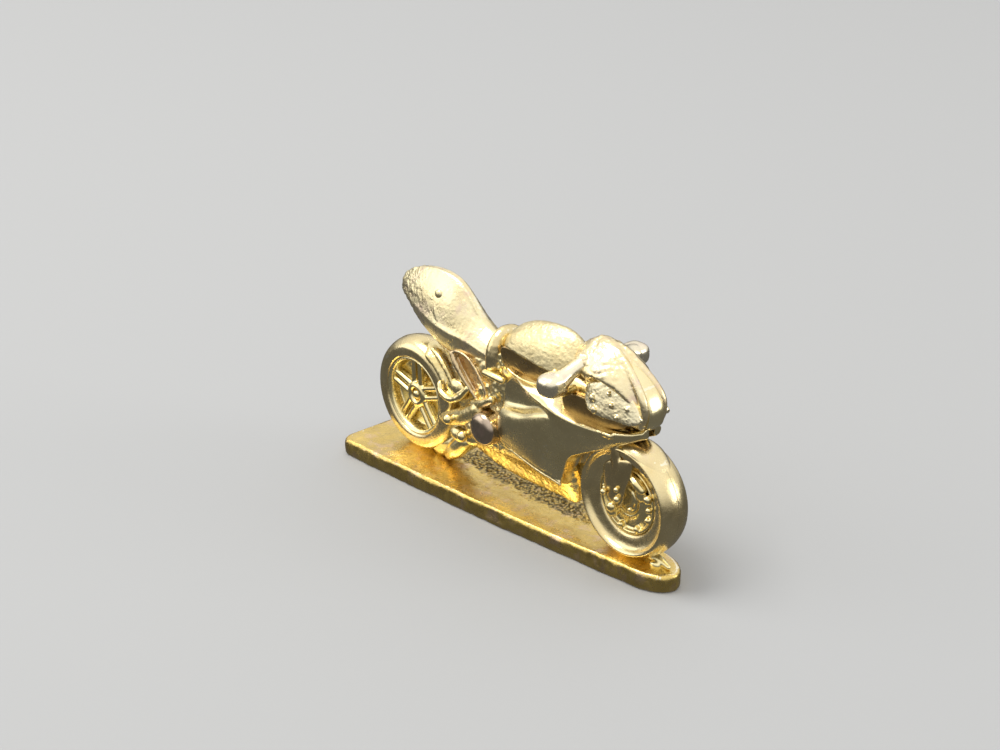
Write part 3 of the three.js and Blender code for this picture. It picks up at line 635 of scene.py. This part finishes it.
BELLY_HALF = [(0.28, 0.5, 0.7), (0.32, 0.6, 0.85), (0.34, 0.65, 1.05), (0.36, 0.75, 1.5),
              (0.36, 0.85, 1.75),
              (0.36, 0.85, 1.75), (0.36, 0.85, 1.7), (0.34, 0.85, 1.65), (0.32, 0.8, 1.5), (0.3, 0.7, 1.2)]
BELLY_TOP = [5.2, 5.4, 5.6, 6.2, 6.5, 6.3, 6.2, 6.6, 7.6, 7.8]
belly = [skin(rings_at([(x, [(0, z), (tip, z + 0.1), (waist, z + (top - z) * 0.4),
                             (wide, z + (top - z) * 0.85),
                             (wide * 0.8, top), (0, top)])
                        for (x, z), (tip, waist, wide), top in zip(KEEL, BELLY_HALF, BELLY_TOP)]))]
casting("belly", "belly_pan", belly, belly_gold, "polished_gold", voxel=0.08, soften=3, grain=0.02,
        size=0.8, seed=23)
lobe = [tube([(-8.6, 0, 2.3), (-7.2, -0.1, 2.9), (-5.9, -0.1, 3.7), (-4.8, 0, 4.6)], [1.0, 1.0, 0.95, 1.0]),
        tube([(-7.2, -0.5, 2.2), (-6.2, -0.7, 3.0), (-5.2, -0.7, 4.0)], [0.6, 0.75, 0.7])]
casting("support_lobe", "rear_support_lobe", lobe, belly_gold, "plate_gold", voxel=0.08, soften=4)
low, high = box_of("front_tip_web")
middle = (low[0] + high[0]) / 2
web = [tube([(low[0] + 0.3, 0, low[2] + 0.4), (middle, 0, low[2] + 0.5), (high[0] - 0.25, 0, low[2] + 0.2)],
            [0.4, 0.36, 0.2]),
       lump((middle + 0.3, -0.3, low[2] + 0.15), (0.5, 0.35,
                                                  0.35)),
                                                  lump((middle + 0.2, 0.3, low[2] + 0.15),
                                                       (0.5, 0.35, 0.35))]
casting("tip_web", "front_tip_web", web, belly_gold, "plate_gold", voxel=0.06, soften=2)


# ---- Side fairing --------------------------------------------------------------------------------
# The big smooth panel on each side: a sloping shoulder under the tank, a hollow three-cornered
# knee face, and a lower panel with a rounded crest along its top and a double lip at the bottom.
fairing_gold = gold("fairing_gold", (0.86, 0.74, 0.42), (0.74, 0.61, 0.32), 0.25, 0.004, 0.20, rubbed=0.15)
FAIRING = [
    (0.15, [(0.6, 9.3), (1.5, 9.3), (1.65, 9.25), (1.75, 9.2), (1.85, 9.15), (2.15, 8.9), (2.3, 8.0),
            (2.15, 6.9), (1.95, 6.5), (0.6, 6.4)]),
    (0.5, [(0.6, 11.2), (1.6, 11.2), (1.85, 11.1), (1.8, 10.6), (1.8, 9.7), (2.35, 9.1), (2.5, 8.1),
           (2.25, 6.8), (2.0, 6.4), (0.6, 6.3)]),
    (1.6, [(0.6, 12.0), (1.5, 12.1), (2.0, 12.05), (1.85, 11.6), (1.85, 9.95), (2.55, 9.4), (2.7, 8.3),
           (2.3, 6.7), (2.0, 6.25), (0.6, 6.1)]),
    (3.0, [(0.6, 12.0), (1.8, 12.2), (2.55, 12.05), (2.05, 11.6), (1.9, 10.25), (2.65, 9.7), (2.78, 8.5),
           (2.35, 6.6), (2.0, 6.05), (0.6, 5.9)]),
    (4.5, [(0.6, 12.1), (1.9, 12.2), (2.68, 11.6), (2.25, 11.3), (2.1, 10.75), (2.74, 10.25), (2.82, 8.8),
           (2.35, 6.4), (1.95, 5.75), (0.6, 5.6)]),
    (5.8, [(0.6, 12.2), (1.9, 12.0), (2.7, 11.45), (2.66, 11.15), (2.6, 10.85), (2.74, 10.45), (2.8, 8.9),
           (2.3, 6.5), (1.9, 5.6), (0.6, 5.5)]),
    (6.6, [(0.6, 11.6), (1.7, 11.6), (2.6, 11.3), (2.68, 10.9), (2.7, 10.4), (2.7, 9.9), (2.65, 8.5),
           (2.2, 6.7), (1.85, 5.6), (0.6, 5.6)]),
    (7.4, [(0.6, 11.3), (1.5, 11.35), (2.5, 11.22), (2.62, 10.8), (2.62, 10.3), (2.58, 9.8), (2.45, 8.9),
           (2.2, 8.1), (1.9, 7.6), (0.6, 7.6)]),
    (8.6, [(0.6, 11.1), (1.4, 11.2), (2.38, 11.12), (2.5, 10.8), (2.5, 10.4), (2.42, 10.0), (2.3, 9.4),
           (2.05, 8.8), (1.85, 8.5), (0.6, 8.5)]),
    (10.6, [(0.6, 11.0), (1.2, 11.1), (2.0, 11.12), (2.12, 10.9), (2.1, 10.65), (2.0, 10.35), (1.9, 10.05),
            (1.7, 9.7), (1.5, 9.5), (0.6, 9.5)]),
    (12.5, [(0.5, 11.2), (0.9, 11.4), (1.4, 11.35), (1.5, 11.15), (1.45, 11.0), (1.4, 10.8), (1.3, 10.65),
            (1.15, 10.55), (1.0, 10.5), (0.5, 10.5)]),
    (13.6, [(0.3, 11.8), (0.65, 11.8), (0.9, 11.6), (0.92, 11.5), (0.9, 11.4), (0.86, 11.3), (0.8, 11.2),
            (0.75, 11.15), (0.7, 11.1), (0.3, 11.1)])]
side = [skin(side_rings(FAIRING)),
        tube([(0.3, -2.05, 6.6), (2.0, -2.1, 6.25), (4.2, -2.1, 5.85), (6.6, -2.0, 5.5)],
             [0.1, 0.11, 0.11, 0.1]),
        tube([(0.3, -1.8, 6.2), (2.0, -1.85, 5.85), (4.2, -1.85, 5.45), (6.4, -1.75, 5.15)],
             [0.1, 0.11, 0.11, 0.1]),
        tube([(10.9, -2.0, 11.0), (11.4, -1.9, 10.95)], [0.2, 0.2])]
pair("fairing", "side_fairing", side, fairing_gold, "polished_gold", voxel=0.08, soften=3)


# ---- Tank, collar and seat -----------------------------------------------------------------------
# The fuel tank, grainy and unpolished, overhangs a hollow for the rider's knee; behind it a smooth
# bulging collar and the short seat that runs up into the tail. A dark sheet of painted shade fills
# the hollow.
tank_gold = gold("tank_gold", (0.88, 0.76, 0.44), (0.68, 0.54, 0.27), 0.38, 0.022, 0.07, rubbed=0.3,
                 pits=0.03)
collar_gold = gold("collar_gold", (0.84, 0.70, 0.40), (0.62, 0.48, 0.22), 0.24, 0.005, 0.15, rubbed=0.2)
TANK_RINGS = [
    (-0.35, [(0, 13.3), (0.8, 13.4), (1.15, 13.7), (1.15, 14.0), (0.8, 14.5), (0, 14.8)]),
    (0.7, [(0, 13.2), (1.3, 13.8), (1.78, 14.05), (1.82, 14.3), (1.3, 15.1), (0, 15.6)]),
    (2.3, [(0, 13.2), (1.4, 13.7), (1.92, 13.95), (1.96, 14.2), (1.45, 15.3), (0, 16.2)]),
    (4.5, [(0, 13.2), (1.3, 13.5), (1.85, 13.75), (1.88, 14.0), (1.4, 15.25), (0, 16.5)]),
    (5.9, [(0, 13.2), (1.1, 13.4), (1.6, 13.6), (1.65, 13.85), (1.2, 15.0), (0, 16.3)]),
    (6.9, [(0, 13.2), (0.7, 13.3), (1.0, 13.6), (1.0, 14.0), (0.8, 14.8), (0, 15.6)])]
tank = [skin(rings_at(TANK_RINGS))]
casting("tank", "fuel_tank", tank, tank_gold, "cast_gold", voxel=0.07, soften=2, grain=0.014, size=0.35,
        seed=31)
collar = [lump((-1.35, 0, 12.2), (0.95, 1.95, 2.5), 0.85)]
casting("collar", "tank_collar", collar, collar_gold, "cast_gold", voxel=0.08, soften=3, grain=0.03,
        size=1.2, seed=33)
seat = [lump((-3.1, 0, 11.6), (1.3, 1.4, 0.9), 0.9), lump((-2.6, 0, 11.2), (1.2, 1.45, 1.2))]
casting("seat", "seat_pad", seat, tank_gold, "cast_gold", voxel=0.09, soften=3, grain=0.06, size=0.5,
        seed=35)
rail = [tube([(-1.5, -2.05, 11.45), (-0.6, -2.1, 11.5), (0.35, -2.05, 11.42)], [0.27, 0.3, 0.27]),
        tube([(0.7, -1.8, 12.45), (1.4, -1.85, 12.25), (2.6, -1.9, 12.18), (3.9, -1.9, 12.35),
              (4.8, -1.85, 12.95),
              (5.6, -1.7, 13.8)], [0.08, 0.1, 0.11, 0.14, 0.2, 0.26], steps=50)]
pair("rail", "frame_rail", rail, spoke_gold, "cast_gold", voxel=0.06, soften=2)
# Painted shade: a dark brown gold for the sheets and members that stand in shade: the sheet in the knee
# hollow, the sheet under the headlight plate and the subframe spine.
painted_shade_gold = gold("painted_shade_gold", (0.50, 0.36, 0.16), (0.34, 0.22, 0.09), 0.30, 0.010, 0.12, rubbed=0.2)
POCKET = [(0.0, 13.9), (0.1, 12.4), (1.2, 11.8), (2.8, 11.8), (4.2, 12.2), (5.0, 13.2), (4.7, 14.0),
          (2.4, 14.1)]
# Painted shade: a dark sheet laid in the hollow under the tank.
pair("knee_shade_sheet", None, [plaque(POCKET, 1.66, 0.04, 0.5, (0.0, 0.14))], painted_shade_gold, "cast_gold",
     voxel=0.06, soften=2)


# ---- Tail ----------------------------------------------------------------------------------------
# A plump pointed tail that stands high over the rear wheel: tent-shaped, its sides grainy and full
# of pinholes towards the tip, with a small boss on each side and scored lines towards the seat.
tail_gold = gold("tail_gold", (0.95, 0.85, 0.54), (0.84, 0.68, 0.36), 0.32, 0.016, 0.09, rubbed=0.35,
                 pits=0.05,
                 blush=0.5)
TAIL_RINGS = [
    (-13.2, [(0, 14.2), (0.1, 14.2), (0.16, 14.3), (0.2, 14.5), (0.18, 14.7), (0.1, 14.85), (0, 14.9)]),
    (-12.9, [(0, 13.8), (0.22, 13.85), (0.48, 14.25), (0.5, 14.6), (0.38, 15.1), (0.15, 15.45), (0, 15.5)]),
    (-11.8, [(0, 13.0), (0.45, 13.05), (0.95, 14.0), (0.98, 14.5), (0.75, 15.3), (0.3, 16.1), (0, 16.2)]),
    (-10.3, [(0, 12.2), (0.75, 12.2), (1.4, 13.6), (1.36, 14.2), (1.05, 15.4), (0.35, 16.6), (0, 16.7)]),
    (-8.4, [(0, 11.5), (0.95, 11.5), (1.75, 13.15), (1.68, 13.9), (1.25, 15.4), (0.36, 16.85), (0, 16.95)]),
    (-6.7, [(0, 11.1), (1.0, 11.1), (1.85, 12.9), (1.72, 13.6), (1.25, 15.1), (0.36, 16.6), (0, 16.75)]),
    (-5.5, [(0, 11.0), (1.1, 11.0), (1.8, 12.8), (1.62, 13.4), (1.15, 14.6), (0.36, 15.85), (0, 16.0)]),
    (-4.3, [(0, 11.1), (1.1, 11.1), (1.65, 12.7), (1.5, 13.2), (1.05, 13.9), (0.36, 14.7), (0, 14.85)]),
    (-3.3, [(0, 11.2), (1.0, 11.2), (1.5, 12.5), (1.42, 12.8), (1.05, 13.3), (0.36, 13.9), (0, 14.0)]),
    (-2.0, [(0, 11.3), (0.9, 11.3), (1.3, 12.2), (1.25, 12.4), (0.95, 12.9), (0.36, 13.4), (0, 13.5)])]
tail = [skin(rings_at(TAIL_RINGS)),
        tube([(-12.6, -0.25, 15.5), (-11.8, -0.2, 16.12), (-10.3, -0.1, 16.62), (-8.4, -0.05, 16.82),
              (-6.7, -0.1, 16.65), (-5.5, -0.2, 15.9), (-4.3, -0.3, 14.75)],
             [0.06, 0.1, 0.12, 0.12, 0.12, 0.12, 0.08], steps=50)]
for way in (-1, 1):
    tail.append(tube([(-7.9, 1.3 * way, 14.9), (-7.7, 1.46 * way, 14.2), (-7.2, 1.66 * way, 13.5)],
                     [0.12, 0.22, 0.14]))
as_piece("tail", run_together(tail, 0.07, 2, grain=0.03, size=0.4, seed=41,
                              where=lambda p: np.clip(0.3 - (p[:, 0] + 9.0) * 0.35, 0.3, 1.5)),
         tail_gold, ["tail_cowl"])
boss = [lump((-7.8, -1.1, 15.45), (0.42, 0.24, 0.4)), lump((-8.3, -1.25, 14.95), (0.3, 0.18, 0.24))]
for i in range(5):
    drop = 0.32 * i
    boss.append(tube([(-6.4, -1.52 + 0.1 * i, 13.75 + drop), (-5.2, -1.42 + 0.1 * i, 13.3 + drop * 0.8),
                      (-4.0, -1.3 + 0.08 * i, 12.95 + drop * 0.5)], [0.03, 0.07, 0.03], 8, 14))
pair("tail_stud", "tail_boss", boss, tail_gold, "cast_gold", voxel=0.05, soften=1)


# ---- Subframe, hugger and swingarm ---------------------------------------------------------------
# Under the tail a ribbed hugger follows the rear tyre, a leaf-shaped hollow panel closes the
# subframe on each side, and below it bracket, pegs, swingarm and engine cover crowd together.
hugger = [fender(REAR_X, REAR_Z, REAR_R - 0.02, 4, 80, 1.3, 0.22)]
for way in (-1, 1):
    hugger += [tube([(-8.6, 1.1 * way, 10.7), (-7.6, 1.3 * way, 10.45), (-6.6, 1.45 * way, 9.8),
                     (-5.7, 1.5 * way, 8.7)],
                    [0.2, 0.24, 0.25, 0.2]),
               tube([(-8.4, 0.5 * way, 11.2), (-7.3, 0.7 * way, 11.1), (-5.9, 0.95 * way, 10.3),
                     (-5.0, 1.2 * way, 8.8)],
                    [0.2, 0.24, 0.24, 0.2])]
casting("hugger", "rear_hugger", hugger, core_gold, "cast_gold", voxel=0.07, soften=2, grain=0.015,
        size=0.5, seed=51)
spine = [tube([(-8.6, 0, 12.0), (-7.2, 0, 11.6), (-5.0, 0, 11.3), (-2.4, 0, 11.0)], [0.5, 0.8, 1.1, 1.3])]
for way in (-1, 1):
    spine.append(tube([(-9.4, 0.75 * way, 12.05), (-7.9, 1.05 * way, 11.5), (-6.7, 1.2 * way, 11.25),
                       (-5.6, 1.35 * way, 11.35)], [0.08, 0.1, 0.1, 0.1]))
# Painted shade: the spine under the tail is given the dark brown gold.
casting("subframe", "subframe_spine", spine, painted_shade_gold, "cast_gold", voxel=0.08, soften=2, grain=0.04,
        size=0.4, seed=53)
# Partly painted shade: the leaf panels' gold is rose-tinted and darker than the rest, so that their hollow
# middles read dark brown.
rose_shaded_gold = gold("rose_shaded_gold", (0.80, 0.62, 0.36), (0.58, 0.42, 0.22), 0.28, 0.012, 0.10, rubbed=0.3,
                 pits=0.03, blush=0.35)
LEAF = [(-6.0, 11.5), (-5.0, 11.85), (-3.9, 11.55), (-2.9, 10.75), (-2.1, 9.7), (-1.9, 8.7), (-2.5, 8.2),
        (-3.3, 8.7),
        (-4.3, 9.6), (-5.3, 10.6)]
leaf = [plaque(LEAF, 1.4, -0.2, 0.7),
        tube([(-2.6, -1.55, 8.3), (-3.4, -1.55, 8.9), (-4.4, -1.6, 9.8), (-5.3, -1.6, 10.75),
              (-5.8, -1.55, 11.4)],
             [0.1, 0.14, 0.2, 0.27, 0.24], steps=40),
        tube([(-5.8, -1.5, 11.5), (-5.0, -1.55, 11.8), (-3.9, -1.55, 11.55), (-2.9, -1.55, 10.75),
              (-2.1, -1.55, 9.7),
              (-1.95, -1.55, 8.7), (-2.5, -1.5, 8.25)], [0.18, 0.13, 0.12, 0.13, 0.14, 0.13, 0.1],
              steps=50)]
pair("leaf_panel", "subframe_panel", leaf, rose_shaded_gold, "cast_gold", voxel=0.06, soften=2, grain=0.012,
     size=0.3, seed=55)
bowl = [tube([(-7.15, -1.6, 8.45), (-6.75, -1.8, 7.95), (-5.7, -1.85, 7.75), (-4.7, -1.8, 8.25),
              (-3.95, -1.6, 9.15)],
             [0.27, 0.3, 0.3, 0.3, 0.26]),
        lump((-5.5, -1.35, 8.5), (1.2, 0.4, 0.8))]
pair("bracket", "hugger_bracket", bowl, spoke_gold, "cast_gold", voxel=0.06, soften=3, grain=0.008,
     size=0.4, seed=57)
arm = [tube([(-7.0, -1.3, 5.6), (-5.9, -1.45, 6.0), (-4.2, -1.6, 6.8), (-2.6, -1.7, 7.9)],
            [0.4, 0.6, 0.75, 0.7]),
       lump((-2.9, -1.6, 6.3), (1.1, 0.7, 0.9)), lump((-5.3, -1.3, 4.8), (0.9, 0.55, 0.65)),
       lump((-3.6, -1.4, 5.2), (0.9, 0.6, 0.7)),
       tube([(-3.2, -1.6, 8.2), (-2.0, -1.9, 8.7), (-0.9, -1.95, 9.4)], [0.4, 0.36, 0.3])]
pair("swing_member", "swingarm", arm, core_gold, "cast_gold", voxel=0.07, soften=3, grain=0.012, size=0.5,
     seed=59)
pegs = [tube([(-4.6, -1.4, 6.7), (-5.1, -2.3, 6.5)], [0.3, 0.28]),
        lump((-5.2, -2.5, 6.45), (0.42, 0.42, 0.42))]
pair("peg", "footpeg", pegs, spoke_gold, "cast_gold", voxel=0.05, soften=1)
lever = [tube([(-3.2, -1.4, 5.9), (-3.5, -2.2, 5.65)], [0.3, 0.28]),
         lump((-3.6, -2.45, 5.6), (0.44, 0.44, 0.44))]
pair("lever", "foot_lever", lever, spoke_gold, "cast_gold", voxel=0.05, soften=1)
cover_gold = gold("cover_gold", (0.62, 0.50, 0.38), (0.42, 0.32, 0.22), 0.20, 0.004, 0.2, rubbed=0.15,
                  blush=0.6)
low, high = box_of("engine_cover_right")
COVER_X, COVER_Z = (low[0] + high[0]) / 2, (low[2] + high[2]) / 2
cover_end = np.array([(0.0, -3.12), (0.6, -3.08), (1.02, -2.95), (1.24, -2.72), (1.3, -2.4), (1.3, -1.2),
                      (0.0, -1.2)])
pair("cover", "engine_cover", [ring_of(cover_end, COVER_X, COVER_Z, 40, 60, False)], cover_gold,
     "polished_gold",
     voxel=0.06, soften=1)


# ---- Upper fairing -------------------------------------------------------------------------------
# The nose: a high screen that curves over into a flat band down the front with a raised rim beside
# it, grainy cheeks above, and below them a headlight plate full of beads over a dark sheet of painted
# shadow.
cheek_gold = gold("cheek_gold", (0.96, 0.84, 0.54), (0.82, 0.64, 0.32), 0.30, 0.014, 0.12, rubbed=0.3,
                  pits=0.05,
                  blush=0.5)
lamp_gold = gold("lamp_gold", (0.97, 0.88, 0.60), (0.84, 0.70, 0.40), 0.26, 0.010, 0.10, rubbed=0.25,
                 pits=0.04)
front_gold = gold("front_gold", (0.95, 0.84, 0.50), (0.88, 0.74, 0.40), 0.24, 0.004, 0.2, rubbed=0.15)
NOSE_RINGS = [
    (6.9, [(0, 14.3), (0.5, 14.5), (0.9, 14.8), (1.1, 15.2), (1.0, 15.5), (0.5, 15.9), (0, 16.0)]),
    (7.7, [(0, 13.8), (0.8, 14.2), (1.35, 14.6), (1.75, 15.1), (1.5, 15.7), (0.6, 16.5), (0, 16.7)]),
    (8.8, [(0, 12.0), (1.2, 12.6), (1.45, 14.2), (2.1, 14.75), (1.85, 15.6), (0.7, 16.8), (0, 17.05)]),
    (10.2, [(0, 11.8), (1.3, 12.2), (1.5, 14.3), (2.15, 14.95), (1.85, 15.6), (0.7, 16.6), (0, 16.85)]),
    (11.5, [(0, 11.6), (1.2, 12.0), (1.4, 13.9), (1.85, 14.6), (1.55, 15.15), (0.7, 15.85), (0, 15.95)]),
    (12.6, [(0, 11.5), (1.0, 11.8), (1.2, 13.2), (1.45, 13.8), (1.25, 14.2), (0.8, 14.75), (0, 14.95)]),
    (13.5, [(0, 11.6), (0.7, 11.8), (0.9, 12.4), (1.05, 12.8), (0.95, 13.2), (0.6, 13.6), (0, 13.8)])]
nose = [skin(rings_at(NOSE_RINGS)),
        lump((8.3, -1.5, 15.5), (0.75, 0.55, 0.6)), lump((8.3, 1.5, 15.5), (0.75, 0.55, 0.6))]
nose += [tube([(9.2, 0.15 * way, 16.8), (10.2, 0.3 * way, 16.65), (11.2, 0.45 * way, 16.1),
               (12.15, 0.62 * way, 15.35),
               (12.95, 0.78 * way, 14.6), (13.5, 0.88 * way, 13.85), (13.65, 0.9 * way, 12.95),
               (13.4, 0.88 * way, 12.1)],
              [0.12, 0.2, 0.26, 0.3, 0.32, 0.33, 0.32, 0.3], steps=60) for way in (-1, 1)]
as_piece("nose", run_together(nose, 0.08, 2, grain=0.06, size=0.8, seed=61,
                              where=lambda p: np.clip((1.9 - (p[:, 0] - 10.5)) * 0.5, 0.1, 1.0)),
         cheek_gold, ["upper_fairing"])


def ribbon(path, half, thick, bow=0.1):
    """A flat band with rounded edges carried down the middle plane along path (x, z), half wide."""
    path = np.asarray(path, float)
    centre = smooth_between(path, np.linspace(0, len(path) - 1, 50))
    ahead = np.gradient(centre, axis=0)
    ahead /= np.linalg.norm(ahead, axis=1)[:, None]
    out = np.stack([-ahead[:, 1], ahead[:, 0]], -1)
    angle = np.linspace(0, 2 * np.pi, 48, endpoint=False)
    c, s = np.cos(angle), np.sin(angle)
    y = half * np.sign(c) * np.abs(c) ** 0.35
    rise = thick * np.sign(s) * np.abs(s) ** 0.35 + bow * (1 - (y / half) ** 2)
    ends = np.clip(np.minimum(np.arange(50), 49 - np.arange(50)) / 4.0, 0.25, 1) ** 0.5
    x = centre[:, 0][:, None] + out[:, 0][:, None] * rise[None]
    z = centre[:, 1][:, None] + out[:, 1][:, None] * rise[None]
    rings = np.stack([x, y[None] * ends[:, None], z], -1)
    rings = with_ends(rings)
    return rings, grid_faces(len(rings), 48, True)


band = [ribbon([(11.3, 15.75), (12.1, 15.25), (12.9, 14.6), (13.5, 13.9), (13.85, 13.1), (13.8, 12.3),
                (13.5, 11.8)],
               0.75, 0.2, 0.05)]
casting("front_band", "windscreen", band, front_gold, "cast_gold", voxel=0.07, soften=2)
LIGHT = [(9.1, 14.1), (10.0, 14.6), (10.9, 14.9), (11.8, 14.6), (12.8, 14.0), (13.5, 13.3), (13.75, 12.6),
         (13.1, 12.3),
         (11.8, 12.35), (10.3, 12.4), (9.5, 12.9)]
lamp = [plaque(LIGHT, 1.72, 0.15, 0.9, (-0.24, -0.40))]
lamp += [lump((x, -y, z), (r, 0.2, r)) for x, y, z, r in
         [(9.9, 2.3, 13.5, 0.26), (10.3, 2.5, 12.8, 0.27), (11.1, 1.85, 14.1, 0.14),
          (11.5, 2.0, 13.4, 0.17),
          (12.1, 2.05, 12.7, 0.14), (12.7, 1.6, 13.4, 0.15), (12.9, 1.45, 12.8, 0.12)]]
GROOVE = [(6.8, 12.7), (8.4, 12.9), (10.0, 12.6), (11.6, 12.3), (12.3, 11.9), (11.8, 11.4), (10.2, 11.0),
          (8.2, 10.9),
          (6.9, 11.4)]
# Painted shadow: a dark sheet under the overhang of the headlight plate.
pair("lamp_shadow_sheet", None, [plaque(GROOVE, 1.62, 0.05, 0.6, (-0.14, 0.05))], painted_shade_gold, "cast_gold",
     voxel=0.06, soften=2)
pair("lamp_plate", "headlight_panel", lamp, lamp_gold, "cast_gold", voxel=0.06, soften=2, grain=0.015,
     size=0.35,
     seed=63)


# ---- Mirrors and grips ---------------------------------------------------------------------------
# Two blunt mirror pods on thick stalks from the top of the nose, polished; below each, in a dark
# pocket between tank and headlight, the round end of the handlebar grip.
mirror_gold = gold("mirror_gold", (0.96, 0.88, 0.66), (0.90, 0.78, 0.54), 0.26, 0.004, 0.2, rubbed=0.15,
                   blush=0.4)
pod = [lump((7.75, -4.0, 14.25), (0.95, 1.05, 0.82), 0.66),
       tube([(8.0, -3.6, 14.45), (8.05, -2.9, 14.75), (8.15, -2.3, 15.05), (8.3, -1.5, 15.35)],
            [0.74, 0.6, 0.55, 0.6])]
pair("mirror_pod", "mirror", pod, mirror_gold, "polished_gold", voxel=0.07, soften=3)
low, high = box_of("handlebar_grip_right")
middle = (low + high) / 2
grip = [tube([(middle[0], low[1] + 0.3, middle[2]), (middle[0], high[1] - 0.3, middle[2])], [0.3, 0.3])]
pair("grip", "handlebar_grip", grip, belly_gold, "cast_gold", voxel=0.06, soften=1)


# ---- Floor and light -----------------------------------------------------------------------------
# A plain pale floor, a wide soft ceiling panel, a soft panel ahead, and a dim room below the horizon
# so that the polished undersides stay dark.
bpy.ops.mesh.primitive_plane_add(size=3.0)
floor = bpy.context.object
floor.name = "floor"
floor.visible_glossy = False
paper = Shader("floor_paper")
paper.bsdf.inputs["Base Color"].default_value = (0.36, 0.36, 0.355, 1.0)
paper.bsdf.inputs["Roughness"].default_value = 0.9
floor.data.materials.append(paper.material)

world = bpy.data.worlds.new("studio")
world.use_nodes = True
tree = world.node_tree
background = tree.nodes["Background"]
direction = tree.nodes.new("ShaderNodeTexCoord")
split = tree.nodes.new("ShaderNodeSeparateXYZ")
ramp = tree.nodes.new("ShaderNodeValToRGB")
tree.links.new(direction.outputs["Generated"], split.inputs[0])
height = tree.nodes.new("ShaderNodeMapRange")
height.inputs["From Min"].default_value = -1.0
tree.links.new(split.outputs["Z"], height.inputs["Value"])
tree.links.new(height.outputs[0], ramp.inputs[0])
stops = [(0.0, 0.13), (0.44, 0.10), (0.50, 0.26), (0.55, 0.50), (0.68, 0.88), (1.0, 1.1)]
for i, (place, grey) in enumerate(stops):
    stop = ramp.color_ramp.elements[i] if i < 2 else ramp.color_ramp.elements.new(place)
    stop.position = place
    stop.color = (grey, grey, grey, 1.0)
tree.links.new(ramp.outputs[0], background.inputs["Color"])
background.inputs["Strength"].default_value = 1.1
bpy.context.scene.world = world
bpy.context.scene.view_settings.view_transform = "Standard"


def panel(name, place, size, watts):
    """A soft square light that faces the motorcycle."""
    light = bpy.data.lights.new(name, "AREA")
    light.size = size
    light.energy = watts
    lamp_head = bpy.data.objects.new(name, light)
    lamp_head.location = place
    lamp_head.rotation_mode = "QUATERNION"
    lamp_head.rotation_quaternion = (-Vector(place)).to_track_quat("-Z", "Y")
    bpy.context.scene.collection.objects.link(lamp_head)


panel("ceiling_panel", (-0.16, -0.12, 0.46), 0.22, 1.6)
panel("left_panel", (-0.42, -0.38, 0.17), 0.40, 0.6)
panel("front_panel", (0.45, 0.34, 0.14), 0.24, 0.7)
